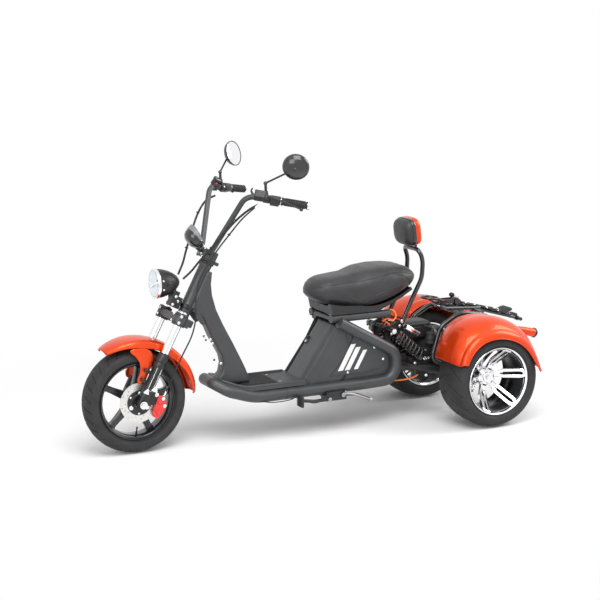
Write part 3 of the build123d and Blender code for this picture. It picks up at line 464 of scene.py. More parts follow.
FINISH = {
    "orange": candy("orange_candy"),
    "frame": satin("charcoal_powder_coat", FRAME_TONE, 0.4, 1500, 0.1, Coat_Weight=0.12, Coat_Roughness=0.35),
    "floor_plastic": satin("floor_plastic", (0.035, 0.036, 0.039), 0.55, 900, 0.2),
    "black": satin("black_plastic", (0.014, 0.014, 0.015), 0.42, 1100, 0.15),
    "satin_black": satin("satin_black_paint", (0.013, 0.013, 0.014), 0.36, 1600, 0.08),
    "gloss": satin("gloss_black_paint", (0.010, 0.010, 0.011), 0.2, 2200, 0.04, Coat_Weight=0.7, Coat_Roughness=0.05),
    "rim_black": satin("wheel_black_paint", (0.009, 0.010, 0.012), 0.28, 2200, 0.04, Coat_Weight=0.5,
                       Coat_Roughness=0.1),
    "cast": satin("cast_housing", (0.03, 0.03, 0.032), 0.6, 700, 0.3, metal=0.3),
    "chrome": metal("chrome_plate", (0.86, 0.86, 0.88), 0.06, 0.02),
    "alloy": metal("polished_alloy", (0.93, 0.93, 0.94), 0.16, 0.05, REAR_CENTRE),
    # wheel barrels: dark metal that paints in shade, standing in for the polished barrel's dark reflection
    "barrel": metal("wheel_barrel_painted_dark_reflection", (0.035, 0.036, 0.04), 0.3, 0.05, REAR_CENTRE),
    "disc": metal("ground_disc_steel", (0.72, 0.71, 0.68), 0.3, 0.06, FRONT_CENTRE),
    "steel": metal("zinc_steel", (0.42, 0.42, 0.44), 0.32, 0.06),
    "front_rubber": rubber("front_tyre_rubber", (0.026, 0.026, 0.027), 0.72, FRONT_CENTRE),
    "rear_rubber": rubber("rear_tyre_rubber", (0.026, 0.026, 0.027), 0.72, REAR_CENTRE),
    "rubber": rubber("moulded_rubber", (0.02, 0.02, 0.021), 0.6),
    "loom": rubber("wrapped_loom", (0.016, 0.016, 0.017), 0.5),
    "red": satin("red_caliper_paint", (0.72, 0.022, 0.018), 0.3, 1500, 0.08, Coat_Weight=0.4, Coat_Roughness=0.12),
    "orange_sleeve": satin("orange_cable_sleeve", (0.85, 0.2, 0.03), 0.45, 1500, 0.08),
    "stripe": satin("white_stripe_paint", (0.78, 0.78, 0.77), 0.35, 1500, 0.05),
    "visor": satin("grey_visor_plastic", (0.2, 0.2, 0.205), 0.35, 1500, 0.08),
    "dial": satin("dial_face", (0.02, 0.022, 0.026), 0.3, 1500, 0.03),
    "thread": satin("waxed_thread", (0.05, 0.05, 0.052), 0.55, 3000, 0.05),
    "leather": leather("black_leathercloth", (0.022, 0.022, 0.024)),
    "lens": glassy("clear_lamp_lens", (0.95, 0.97, 1.0)),
    "tail_lens": glassy("red_lamp_lens", (0.5, 0.008, 0.006), 0.1),
    "mirror": metal("mirror_glass", (0.9, 0.9, 0.92), 0.02, 0.0),
}

NODE_FINISH = {
    "frame": ["neck", "deck_tube", "seat_frame", "side_panels", "steering_stem", "handlebar"],
    "floor_plastic": ["deck_floor"],
    "black": ["battery_box", "seat_base", "controller_box", "hand_controls", "mirrors", "headlight_bracket",
              "speedometer"],
    "satin_black": ["fork_sliders", "headlight", "rear_frame", "swing_arm", "foot_controls"],
    "gloss": ["backrest_bar", "shocks", "rear_carrier", "rack_cradle"],
    "rim_black": ["front_rim"],
    "cast": ["rear_drive"],
    "chrome": ["fork_tubes", "front_axle"],
    "alloy": ["rear_rim_left", "rear_rim_right"],
    "disc": ["brake_disc"],
    "steel": ["rear_axle_left", "rear_axle_right"],
    "front_rubber": ["front_tyre"],
    "rear_rubber": ["rear_tyre_left", "rear_tyre_right"],
    "rubber": ["grips"],
    "loom": ["cables"],
    "red": ["front_caliper"],
    "orange": ["front_fender", "rear_fenders", "backrest_shell"],
    "leather": ["seat", "backrest_pad"],
    "lens": ["headlight_lens"],
    "tail_lens": ["tail_lamps"],
    "mirror": ["mirror_glass"],
}
for kind, nodes in NODE_FINISH.items():
    for node in nodes:
        mesh = frame["nodes"][node].data
        mesh.materials.clear()
        mesh.materials.append(FINISH[kind])


# ---------------------------------------------------------------- stage, lamps and camera
def seen_ray(nodes, links):
    """One where a ray comes from the camera, or by way of a shiny or clear surface."""
    ray = nodes.new("ShaderNodeLightPath")
    share = ray.outputs["Is Camera Ray"]
    for kind in ("Is Glossy Ray", "Is Transmission Ray"):
        both = nodes.new("ShaderNodeMath")
        both.operation = "MAXIMUM"
        links.new(share, both.inputs[0])
        links.new(ray.outputs[kind], both.inputs[1])
        share = both.outputs[0]
    return share


SHADOW_REACH, WHITE_REACH, FLOOR_HALF = 0.7, 2.3, 30
WORLD_LEVEL, SEEN_LEVEL = 0.55, 1.0


def make_floor():
    """Pale floor that keeps the shadow near the trike and is plain white further out."""
    material = bpy.data.materials.new("pale_floor")
    material.use_nodes = True
    shader = material.node_tree.nodes["Principled BSDF"]
    shader.inputs["Base Color"].default_value = (0.93, 0.93, 0.93, 1)
    shader.inputs["Roughness"].default_value = 0.85
    shader.inputs["Specular IOR Level"].default_value = 0.1
    nodes, links = material.node_tree.nodes, material.node_tree.links
    place = nodes.new("ShaderNodeTexCoord")
    reach = nodes.new("ShaderNodeVectorMath")
    reach.operation = "LENGTH"
    links.new(place.outputs["Object"], reach.inputs[0])
    far = nodes.new("ShaderNodeMapRange")
    far.interpolation_type = "SMOOTHSTEP"
    far.inputs["From Min"].default_value = SHADOW_REACH
    far.inputs["From Max"].default_value = WHITE_REACH
    links.new(reach.outputs["Value"], far.inputs["Value"])
    share = nodes.new("ShaderNodeMath")
    share.operation = "MULTIPLY"
    links.new(far.outputs["Result"], share.inputs[0])
    links.new(seen_ray(nodes, links), share.inputs[1])
    white = nodes.new("ShaderNodeEmission")
    white.inputs["Color"].default_value = (1, 1, 1, 1)
    mix = nodes.new("ShaderNodeMixShader")
    links.new(share.outputs[0], mix.inputs["Fac"])
    links.new(shader.outputs[0], mix.inputs[1])
    links.new(white.outputs[0], mix.inputs[2])
    links.new(mix.outputs[0], nodes["Material Output"].inputs["Surface"])
    size = FLOOR_HALF
    mesh = bpy.data.meshes.new("floor")
    mesh.from_pydata([(-size, -size, 0), (size, -size, 0), (size, size, 0), (-size, size, 0)], [], [(0, 1, 2, 3)])
    mesh.materials.append(material)
    floor = bpy.data.objects.new("floor", mesh)
    bpy.context.scene.collection.objects.link(floor)


def make_world(level, seen):
    """Even light all round; the camera, clear and shiny surfaces see plain white."""
    world = bpy.data.worlds.new("studio")
    bpy.context.scene.world = world
    world.use_nodes = True
    nodes, links = world.node_tree.nodes, world.node_tree.links
    plain = nodes["Background"]
    plain.inputs["Color"].default_value = (1, 1, 1, 1)
    plain.inputs["Strength"].default_value = level
    white = nodes.new("ShaderNodeBackground")
    white.inputs["Color"].default_value = (1, 1, 1, 1)
    white.inputs["Strength"].default_value = seen
    mix = nodes.new("ShaderNodeMixShader")
    links.new(seen_ray(nodes, links), mix.inputs["Fac"])
    links.new(plain.outputs[0], mix.inputs[1])
    links.new(white.outputs[0], mix.inputs[2])
    links.new(mix.outputs[0], nodes["World Output"].inputs["Surface"])


def softbox(name, place, aim, size, power, tall=None):
    """A soft studio lamp."""
    data = bpy.data.lights.new(name, "AREA")
    data.shape = "RECTANGLE"
    data.size, data.size_y = size, tall or size
    data.energy = power
    lamp = bpy.data.objects.new(name, data)
    lamp.location = place
    lamp.rotation_euler = (Vector(aim) - Vector(place)).to_track_quat("-Z", "Y").to_euler()
    bpy.context.scene.collection.objects.link(lamp)


def make_camera():
    """The view: from the front left, a little above the saddle."""
    data = bpy.data.cameras.new("camera")
    data.lens, data.sensor_width = 96, 36
    camera = bpy.data.objects.new("camera", data)
    camera.location = (3.40605, 6.5779, 2.0704)
    camera.rotation_euler = (math.radians(78.9), 0, math.radians(153.1))
    bpy.context.scene.collection.objects.link(camera)
    bpy.context.scene.camera = camera


make_floor()
make_world(WORLD_LEVEL, SEEN_LEVEL)
softbox("key", (1.2, 2.6, 4.2), (0.1, 0, 0.4), 3.2, 165)
softbox("fill", (4.5, 3.0, 2.2), (0.3, 0, 0.5), 2.6, 70)
softbox("rear", (-3.6, 1.2, 3.0), (-0.3, 0, 0.5), 2.4, 90)
make_camera()
bpy.context.scene.view_settings.view_transform = "Standard"


# ---------------------------------------------------------------- small parts used everywhere
def bolt(form, point, way, head=5.0, height=4.0, sides=24, socket=True):
    """A round or six-sided bolt head on a washer, its socket open along way."""
    place = spot(point, way)
    form.turned([(0, -0.4), (head * 1.35, -0.4), (head * 1.35, 0.7), (head, 0.8)], place, 24, caps=False)
    rim = [(head, 0.6), (head, height - 0.8), (head - 0.8, height)]
    if socket:
        form.turned(rim + [(head * 0.5, height)], place, sides, caps=False)
        form.turned([(head * 0.5, height), (head * 0.5, height * 0.45), (0, height * 0.45)], place, 6, caps=False)
    else:
        form.turned(rim + [(0, height)], place, sides, caps=False)
    return form


def nut(form, point, way, size=6.0, height=5.0):
    """A six-sided nut with a stud's end showing."""
    bolt(form, point, way, size, height, 6, False)
    place = spot(point, way)
    return form.turned([(size * 0.52, height), (size * 0.52, height + 2), (size * 0.4, height + 2.6),
                        (0, height + 2.6)], place, 16, caps=False)


def bolts(name, places, body, finish="chrome", head=5.0, height=4.0, sides=24, both_sides=False):
    """One piece that holds a group of bolt heads, from (point, way) pairs."""
    form = Form()
    for point, way in places:
        bolt(form, point, way, head, height, sides)
    if both_sides:
        form.copy_mirrored()
    return piece(name, form, finish, body)


# ---------------------------------------------------------------- tyres
def tyre_line(radius, width, rim_r, rim_w, crown):
    """(y, radius) points from a bead to the middle of the tread."""
    seat, rise = rim_w / 2 - 5, radius - rim_r
    return [(seat - 1, rim_r - 8), (seat, rim_r + 1.5), (width * 0.5 - 2.6, rim_r + rise * 0.19),
            (width * 0.5, rim_r + rise * 0.4), (width * 0.489, rim_r + rise * 0.58),
            (width * 0.452, radius - crown - rise * 0.085), (width * 0.4, radius - crown),
            (width * 0.27, radius - crown * 0.42), (width * 0.12, radius - crown * 0.07), (0, radius)]


def tyre_form(place, sizes, pitches, groove, lean, inner, outer, depth):
    """A tyre whose grooves run across each half of the tread, leaning with the distance from its middle."""
    radius, width = sizes[0], sizes[1]
    half = [(p.x, p.y) for p in flow([(y, r, 0) for y, r in tyre_line(*sizes)], 4)]
    line = half + [(-y, r) for y, r in reversed(half[:-1])]
    pitch = math.tau * radius / pitches
    edge = 0.9
    columns = []
    for start, hand in ((0.0, 1), (pitch / 2, -1)):
        columns += [(start, 0), (start + edge, hand), (start + groove - edge, hand), (start + groove, 0),
                    (start + groove + (pitch / 2 - groove) * 0.5, 0)]
    rings = []
    for index in range(pitches):
        for along, hand in columns:
            ring = []
            for i, (y, r) in enumerate(line):
                share = abs(y) / (width / 2)
                before, after = line[max(0, i - 1)], line[min(len(line) - 1, i + 1)]
                run = Vector((after[0] - before[0], after[1] - before[1]))
                out = Vector((run.y, -run.x)).normalized()
                if out.y < 0:
                    out = -out
                down = depth if hand and hand * y > 0 and inner < share < outer and r > radius * 0.86 else 0.0
                turn = (index * pitch + along + lean * share ** 1.4) / radius
                reach = r - out.y * down
                ring.append((reach * math.cos(turn), reach * math.sin(turn), y - out.x * down))
            rings.append(ring)
    return Form().loft(rings, place, loop=True)


def mirrored(form):
    """The same form on the other side of the middle plane."""
    twin = Form()
    twin.points = [Vector((p.x, -p.y, p.z)) for p in form.points]
    twin.faces = [tuple(reversed(face)) for face in form.faces]
    return twin


def make_tyres():
    """Road tyres with raked grooves."""
    front = tyre_form(FRONT_WHEEL, (FRONT_R, 130, 177, 100, 14), 30, 6.0, 34, 0.06, 0.87, 3.0)
    piece("tyre_front", front, "front_rubber", "front_wheel", ["front_tyre"], crease=38)
    rear = tyre_form(REAR_WHEEL[1], (REAR_R, 218, 164, 196, 10), 18, 5.0, 62, 0.1, 0.93, 3.0)
    piece("tyre_rear_left", rear, "rear_rubber", "rear_wheel_left", ["rear_tyre_left"], crease=38)
    piece("tyre_rear_right", mirrored(rear), "rear_rubber", "rear_wheel_right",
          ["rear_tyre_right"], crease=38)


# ---------------------------------------------------------------- wheels
def spoke_ring(way, across, reach, level, half, thick, cut):
    """Eight points round a spoke, chamfered, reach out along way."""
    ring = []
    for u, v in ((-half, -thick), (half, -thick), (half, thick - cut), (half - cut, thick), (cut - half, thick),
                 (-half, thick - cut)):
        ring.append(way * reach + across * u + Vector((0, 0, level + v)))
    return ring


def make_front_wheel():
    """Black cast wheel with five spokes."""
    form = Form()
    outside = [(177, 50), (175.6, 51.4), (172.8, 51), (171, 48), (170, 44), (165, 41), (163.4, 36), (162.6, 30),
               (158, 24), (157, 8)]
    line = outside + [(r, -y) for r, y in reversed(outside)]
    line += [(177, -45.2), (168, -45), (167.6, 0), (168, 45), (177, 45.2)]
    form.turned(line, FRONT_WHEEL, 128, loop=True)
    hub = [(11, 37), (20, 37), (21, 36), (21, 33), (32, 33), (34, 31), (34, 14), (37, 11), (37, -11), (34, -14),
           (34, -31), (32, -33), (21, -33), (21, -36), (20, -37), (11, -37)]
    form.turned(hub, FRONT_WHEEL, 64, loop=True)
    widths = [(28, 25), (44, 21), (80, 17.5), (120, 14.5), (144, 14), (154, 17), (160, 23)]
    for index in range(5):
        turn = -math.radians(27 + 72 * index)
        way = Vector((math.cos(turn), math.sin(turn), 0))
        across = Vector((-way.y, way.x, 0))
        rings = [spoke_ring(way, across, s, 0, straight(widths, s), straight([(28, 15), (160, 12)], s), 4)
                 for s in (28, 36, 44, 60, 80, 100, 120, 136, 144, 150, 154, 157, 160)]
        form.loft(rings, FRONT_WHEEL)
        ridge = [way * s + Vector((0, 0, straight([(34, 15), (150, 12.4)], s))) for s in (36, 60, 100, 146)]
        form.tube(ridge, 3.2, 8, place=FRONT_WHEEL, flat=1)
    piece("front_wheel_casting", form, "rim_black", "front_wheel", ["front_rim"], crease=30)
    valve = Form().turned([(0, 0), (4.5, 0), (4.5, 14), (3, 16), (3, 30), (4, 30), (4, 38), (0, 38)],
                          spot(FRONT_HUB + Vector((0, 0.02, -0.158)), (0, 0.35, 1)), 16, caps=False)
    piece("front_valve", valve, "rubber", "front_wheel")


def make_brake_disc():
    """Black carrier, big bolts and a lip over the drilled disc."""
    face = spot(FRONT_HUB + Vector((0, 0.068, 0)), SIDE, (1, 0, 0))
    form = Form().turned([(24, -0.5), (56, -0.5), (57.5, 0), (57.5, 2.2), (56.5, 3), (40, 3), (38, 4.5), (27, 4.5),
                          (24, 3.5)], face, 96, loop=True)
    piece("disc_carrier", form, "satin_black", "front_wheel")
    heads = Form()
    for turn in (-26, 94, 214):
        way = math.radians(turn)
        point = FRONT_HUB + Vector((0.044 * math.cos(way), 0.071, 0.044 * math.sin(way)))
        bolt(heads, point, SIDE, 7.5, 6)
    for turn in (34, 154, 274):
        way = math.radians(turn)
        point = FRONT_HUB + Vector((0.05 * math.cos(way), 0.071, 0.05 * math.sin(way)))
        bolt(heads, point, SIDE, 3.6, 3)
    piece("disc_bolts", heads, "chrome", "front_wheel")


def twin_spoke_form(place, turn):
    """One pair of spoke bars that leave the hub as one and split on the way to the rim's outer edge."""
    form = Form()
    way = Vector((math.cos(turn), math.sin(turn), 0))
    across = Vector((-way.y, way.x, 0))
    level = [(20, -11), (44, -9), (62, -2), (84, 16), (108, 42), (130, 68), (146, 86), (153, 92)]
    gap = [(20, -1.0), (66, -1.0), (73, 3.2), (82, 6.0), (134, 7.4), (143, 5.5), (148, -1.0), (156, -1.0)]
    width = [(20, 15), (46, 15.5), (70, 17.5), (140, 17.5), (153, 22)]
    stations = [20, 32, 44, 52, 60, 66, 69.5, 73, 77, 82, 90, 98, 108, 118, 128, 134, 139, 143, 146, 149, 153]
    for hand in (-1, 1):
        rings = []
        for s in stations:
            y = value_smooth(level, s)
            slope = (value_smooth(level, s + 1) - value_smooth(level, s - 1)) / 2
            tilt = Vector((-slope, 0, 1)).normalized()
            lift = way * tilt.x + Vector((0, 0, tilt.z))
            low, high = straight(gap, s), straight(gap, s) + straight(width, s)
            cut = 2.4
            thick = 17 if s < 140 else 13
            outline = [(low, -thick), (high - 3, -thick), (high, -cut), (high - cut, 0), (low + cut, 0), (low, -cut)]
            if straight(gap, s) < 0:
                outline = [(low, -thick), (high - 3, -thick), (high, -cut), (high - cut, 0), (low + cut, 0),
                           (low, -0.2)]
            rings.append([way * s + Vector((0, 0, y)) + across * (hand * u) + lift * v for u, v in outline])
        form.loft(rings, place)
    return form


def value_smooth(table, key):
    """Value of a table on a smooth curve through its points."""
    line = flow([(a, b, 0) for a, b in table], 8)
    for low, high in zip(line, line[1:]):
        if key <= high.x:
            share = (key - low.x) / max(1e-9, high.x - low.x)
            return low.y + (high.y - low.y) * share
    return line[-1].y


def rear_wheel_forms(place):
    """The bright face, the barrel and the nuts of a rear wheel; the barrel's dark metal is painted shade, standing in
    for its dark reflection.
    """
    bright = Form()
    lip = [(164, 98), (162.6, 99.4), (159.6, 99.4), (157.6, 98), (154.4, 93), (152, 88), (150.2, 88), (150.2, 84),
           (154, 84), (154.5, 93), (164, 93)]
    bright.turned(lip, place, 128, loop=True)
    bright.turned([(164, -98), (159, -99), (152, -92), (150, -80), (154, -80), (155, -93), (164, -93)], place, 96,
                  loop=True)
    for index in range(6):
        bright.join(twin_spoke_form(place, -math.radians(51.5 + 60 * index)))
    bright.turned([(14.6, -32), (46, -32), (47, -30), (47, -12), (44, -8), (38, -6), (36, -4), (31, -4), (30, -6),
                   (27, -6), (26, 2), (24, 4), (0.01, 5)], place, 72, caps=False)
    barrel = Form().turned([(154.2, 93), (150.6, 88), (149.4, 80), (148.6, 40), (143, 30), (142.4, -20), (147, -30),
                            (148.8, -70), (150, -92), (154.4, -93), (154.6, 0)], place, 128, loop=True)
    nuts = Form()
    for index in range(6):
        turn = -math.radians(81.5 + 60 * index)
        point = place @ Vector((37.5 * math.cos(turn), 37.5 * math.sin(turn), -6))
        way = (place.to_3x3() @ Vector((0, 0, 1))).normalized()
        nut(nuts, point, way, 7.2, 9)
    cap_point = place @ Vector((0, 0, 5))
    nut(nuts, cap_point, (place.to_3x3() @ Vector((0, 0, 1))).normalized(), 12, 9)
    return bright, barrel, nuts


def make_rear_wheels():
    """Deep polished wheels with six twin spokes; their barrels carry a dark metal that is painted shade, the polished
    barrel's dark reflection put into its colour.
    """
    bright, barrel, nuts = rear_wheel_forms(REAR_WHEEL[1])
    for side, name in ((1, "left"), (-1, "right")):
        forms = (bright, barrel, nuts) if side > 0 else (mirrored(bright), mirrored(barrel), mirrored(nuts))
        body = "rear_wheel_" + name
        piece("wheel_face_" + name, forms[0], "alloy", body, ["rear_rim_" + name], crease=30)
        # the barrel's dark finish is painted shade in place of its dark reflection
        piece("wheel_barrel_" + name, forms[1], "barrel", body, crease=30)
        piece("wheel_nuts_" + name, forms[2], "chrome", body, crease=30)


make_tyres()
make_front_wheel()
make_brake_disc()
make_rear_wheels()


# ---------------------------------------------------------------- front end
def fender_line(angle):
    """(y, radius) points across the front fender at an angle about the front axle, left half first."""
    half = 79.0
    from_end = min(angle - 58.0, 178.0 - angle)
    waist = 12 * math.exp(-((angle - 120) / 16) ** 2)
    width = half * min(1.0, 0.55 + 0.45 * math.sqrt(max(0.0, from_end) / 26)) - waist
    skirt = 18 + 20 * min(1.0, from_end / 40)
    shape = [(1.0, skirt), (0.985, skirt * 0.72), (0.93, 13), (0.8, 6.4), (0.6, 3.2), (0.3, 0.8), (0, 0)]
    full = shape + [(-a, b) for a, b in reversed(shape[:-1])]
    return [(share * width, 288.0 - drop) for share, drop in full]


def make_front_fender():
    """Painted fender with a rolled edge and a leg down each side."""
    rings = []
    for step in range(61):
        angle = 58.0 + 120.0 * step / 60
        turn = math.radians(angle)
        ring = []
        for point in flow([(y, r, 0) for y, r in fender_line(angle)], 4):
            ring.append((WHEELBASE + point.y * math.cos(turn), point.x, FRONT_R + point.y * math.sin(turn)))
        rings.append(ring)
    form = Form().loft(rings, ROW, sheet=True)
    shell = piece("front_fender_shell", form, "orange", "steering", ["front_fender"],
                  crease=50, solid=3.0)
    shell.modifiers["wall"].offset = 1
    edge = Form()
    for column in (0, -1):
        edge.tube([ring[column] for ring in rings], 2.2, 8)
    for ring in (rings[0], rings[-1]):
        edge.tube(ring, 2.2, 8)
    piece("front_fender_edge", edge, "orange", "steering", crease=60)
    leg = Form()
    outline = [(193, 196), (184, 166), (168, 136), (148, 118), (120, 108), (94, 106), (80, 98), (76, 88),
               (82, 76), (96, 70), (120, 70), (170, 74), (205, 80), (228, 100), (232, 140), (212, 182)]
    ring = [(p.x, p.y) for p in flow([(up, fore, 0) for up, fore in outline], 4, loop=True)]
    centre_up = sum(up for up, _ in ring) / len(ring)
    centre_fore = sum(fore for _, fore in ring) / len(ring)
    points = []
    for y, keep in ((73.5, 1.0), (78, 1.0), (80, 0.975), (80.6, 0.94)):
        points.append([fork(centre_up + (up - centre_up) * keep, centre_fore + (fore - centre_fore) * keep, y)
                       for up, fore in ring])
    leg.loft(points, RAW)
    leg.copy_mirrored()
    piece("front_fender_legs", leg, "orange", "steering", bevel=1.2, crease=40)
    heads = [(fork(145, 92, 80.5), SIDE), (fork(100, 90, 80.5), SIDE)]
    bolts("front_fender_bolts", heads, "steering", "chrome", 5.4, 3.6, both_sides=True)


def make_fork():
    """Black lower legs with a bright outlined recess, collars, axle eyes and the bright tubes' wipers."""
    form = Form()
    leg = spot(fork(0, LEG_OFFSET, LEG_Y), UP, FORE)
    form.turned([(0, 26), (20, 26), (24.5, 32), (24.5, 176), (27, 180), (27, 196), (25, 199), (25, 204), (28, 207),
                 (28, 226), (26.5, 229), (26.5, 236), (24, 240), (19.4, 241), (19.4, 216), (0, 216)],
                leg, 48, caps=False)
    form.turned([(10.2, -20), (21, -20), (23, -18), (23, 18), (21, 20), (10.2, 20)],
                spot(FRONT_HUB + SIDE * LEG_Y * MM, SIDE), 48, loop=True)
    form.block((40, 40, 40), leg, (0, 0, 16), 8)
    for up, fore in ((145, 92), (100, 90)):
        boss = spot(fork(up, fore, 80), SIDE)
        form.turned([(0, 0), (9, 0), (10, 1), (10, 20), (8, 22), (0, 22)], boss, 24, caps=False)
        form.tube([fork(up, fore - 4, 92), fork(up - 4, LEG_OFFSET, 94)], 8 * MM, 12, place=RAW)
    form.copy_mirrored()
    piece("fork_lower_legs", form, "satin_black", "steering", ["fork_sliders"], crease=35)
    pill = Form()
    outline = []
    for start, base in ((176, 0), (80, 180)):
        for i in range(13):
            turn = math.radians(base + 180 * i / 12)
            outline.append((start + 11.5 * math.sin(turn), 11.5 * math.cos(turn)))
    path = []
    for up, across in outline:
        bulge = math.sqrt(max(0.0, 24.7 ** 2 - across ** 2))
        path.append(fork(up, LEG_OFFSET + across, LEG_Y + bulge))
    pill.tube(path, 1.1 * MM, 8, loop=True, place=RAW)
    pill.copy_mirrored()
    piece("fork_outlines", pill, "alloy", "steering", crease=60)
    wiper = Form()
    leg = spot(fork(0, LEG_OFFSET, LEG_Y), UP, FORE)
    wiper.turned([(19.2, 240), (23, 240), (23.5, 243), (21, 248), (19.2, 248)], leg, 40, loop=True)
    wiper.copy_mirrored()
    piece("fork_wipers", wiper, "rubber", "steering", crease=40)


def triangle_plate(form, up, fore, y, reach, turn):
    """A small three-cornered washer plate with a bolt."""
    corners = []
    for index in range(3):
        way = math.radians(turn + 120 * index)
        for step in (-24, 0, 24):
            near = math.radians(turn + 120 * index + step)
            corners.append((fore + reach * 0.62 * math.cos(way) + reach * 0.38 * math.cos(near),
                            up + reach * 0.62 * math.sin(way) + reach * 0.38 * math.sin(near)))
    rings = [[fork(b, a, level) for a, b in corners] for level in (y, y + 2.5)]
    form.loft(rings, RAW)
    bolt(form, fork(up, fore, y + 2.5), SIDE, 5, 4)


def make_caliper():
    """Red two-piston caliper on its bracket, with its bolts and the hose's fitting."""
    outline = [(1600, 264), (1586, 268), (1570, 260), (1567, 240), (1573, 212), (1584, 186), (1597, 170), (1611, 164),
               (1622, 174), (1626, 192), (1620, 214), (1612, 238)]
    ring = smooth_ring(outline, 3)
    form = Form().side_slab(ring, 72.5, 91)
    form.side_slab(ring, 41, 59.5)
    bridge = [(1604, 240), (1560, 236), (1570, 196), (1590, 176), (1600, 196)]
    form.side_slab(smooth_ring(bridge, 3), 50, 82)
    for x, z in ((1594, 240), (1604, 194)):
        form.turned([(0, 90), (12, 90), (12, 94), (10.5, 96), (7, 96), (6, 94.5), (0, 94.5)],
                    spot(at(x, 0, z), SIDE), 32, caps=False)
    piece("caliper_body", form, "red", "steering", ["front_caliper"], bevel=2.5, crease=40)
    arm = Form()
    plate = [(1665, 262), (1640, 285), (1600, 290), (1578, 272), (1582, 240), (1600, 232), (1650, 226), (1668, 238)]
    arm.side_slab(smooth_ring(plate, 3), 76, 84)
    piece("caliper_bracket", arm, "satin_black", "steering", bevel=1.2)
    heads = Form()
    for x, z in ((1578, 252), (1572, 218)):
        bolt(heads, at(x, 91, z), SIDE, 6, 5)
    triangle_plate(heads, 84, 30, 121, 17, 90)
    triangle_plate(heads, 60, 62, 120, 15, 90)
    bolt(heads, at(1606, 84, 272), SIDE, 7, 5)
    heads.tube([at(1578, 84, 262), at(1566, 86, 276), at(1560, 88, 292)], 5 * MM, 12, place=RAW)
    heads.tube([at(1560, 88, 290), at(1556, 89, 306)], 4 * MM, 12, place=RAW)
    piece("caliper_bolts", heads, "chrome", "steering")
    nuts = Form()
    nut(nuts, FRONT_HUB + SIDE * 0.125, SIDE, 13, 9)
    nut(nuts, FRONT_HUB - SIDE * 0.125, -SIDE, 13, 9)
    piece("front_axle_nuts", nuts, "chrome", "steering")


LAMP_BACK = fork(567, 87)
LAMP = spot(LAMP_BACK, (1, 0, 0), (0, 0, 1))


def make_headlight():
    """Bullet lamp: black shell with a vented side, bright ring, reflector, bulb and domed lens."""
    shell = Form().turned([(0, -2), (7, -1), (18, 4), (30, 14), (41, 28), (50, 44), (58, 64), (63.5, 84), (66, 104),
                           (67, 109), (67, 119), (65.5, 121), (62, 121), (61, 119), (61, 104), (0, 104)],
                          LAMP, 96, caps=False)
    piece("headlight_shell", shell, "satin_black", "steering", ["headlight"], crease=28)
    ring = Form().turned([(66.6, 108), (68.6, 110), (68.6, 118.5), (66.5, 122), (63, 123.2), (60.4, 121.8),
                          (60.4, 118), (66, 109)], LAMP, 96, loop=True)
    piece("headlight_ring", ring, "chrome", "steering", crease=40)
    dish = [(60, 118)]
    for step in range(13):
        share = 1 - step / 12
        dish.append((13 + 46 * share, 107 + 10 * share * share))
    reflector = Form().turned(dish + [(12, 105.5)], LAMP, 72, caps=False)
    piece("headlight_reflector", reflector, "chrome", "steering", crease=60)
    bulb = Form().turned([(12, 105.4), (12, 111), (8, 113), (8, 118), (5, 121), (0, 122)], LAMP, 32, caps=False)
    for index in range(3):
        turn = math.tau * index / 3
        bulb.tube([(11 * math.cos(turn), 11 * math.sin(turn), 110), (45 * math.cos(turn), 45 * math.sin(turn), 115)],
                  2.2, 8, place=LAMP)
    piece("headlight_bulb", bulb, "alloy", "steering", crease=40)
    lens = []
    for step in range(15):
        share = 1 - step / 14
        lens.append((60.5 * share, 121.6 + 9 * (1 - share * share)))
    glass = Form().turned([(60.7, 118.5)] + lens[:-1] + [(0, 130.6)], LAMP, 96, caps=False)
    piece("headlight_glass", glass, "lens", "steering", ["headlight_lens"], crease=60,
          solid=2.0)
    screws, vent = Form(), Form()
    for hand in (1, -1):
        for row in (-20, 20):
            bolt(screws, LAMP_BACK + Vector((98, 62.5 * hand, row)) * MM, (-0.1, hand, row * 0.016), 3.4, 2.2)
        place = spot(LAMP_BACK + Vector((66, 58.5 * hand, 0)) * MM, (-0.36, hand, 0), (1, 0, 0.12))
        vent.block((30, 19, 4), place, (0, 0, 0), 5)
        vent.block((24, 13, 3), place, (0, 0, 3), 3)
        for index in range(4):
            vent.block((2.4, 11, 2), place, (-8 + 5.4 * index, 0, 5), 1)
    piece("headlight_screws", screws, "chrome", "steering")
    piece("headlight_vents", vent, "gloss", "steering", bevel=0.8)
    mount = Form()
    mount.block((46, 60, 54), FORK, (66, 0, 478), 7)
    mount.block((40, 44, 26), FORK, (84, 0, 512), 7)
    for hand in (-1, 1):
        mount.tube([fork(468, 70, 28 * hand), fork(500, 88, 30 * hand), fork(530, 104, 24 * hand)], 9 * MM, 12,
                   place=RAW)
    piece("headlight_mount", mount, "black", "steering", ["headlight_bracket"], bevel=2)
    heads = Form()
    for up, fore, y in ((462, 82, 31), (484, 66, 31), (500, 86, 39)):
        for hand in (-1, 1):
            bolt(heads, fork(up, fore, y * hand), SIDE * hand, 5, 4)
    piece("headlight_mount_bolts", heads, "chrome", "steering")


make_front_fender()
make_fork()
make_caliper()
make_headlight()


# ---------------------------------------------------------------- rear fenders
FENDER_IN, FENDER_OUT = 172.0, 448.0
# degrees about the rear axle, from straight ahead, and a radius
CROWN = [(24, 262), (40, 286), (60, 302), (80, 300), (100, 294), (130, 286), (150, 278), (172, 266)]
INNER = [(24, 214), (40, 232), (60, 268), (80, 279), (100, 276), (130, 262), (150, 250), (172, 240)]
LIP = [(24, 214), (47, 224), (64, 224), (81, 216), (102, 208), (123, 204), (145, 203), (160, 208), (172, 222)]


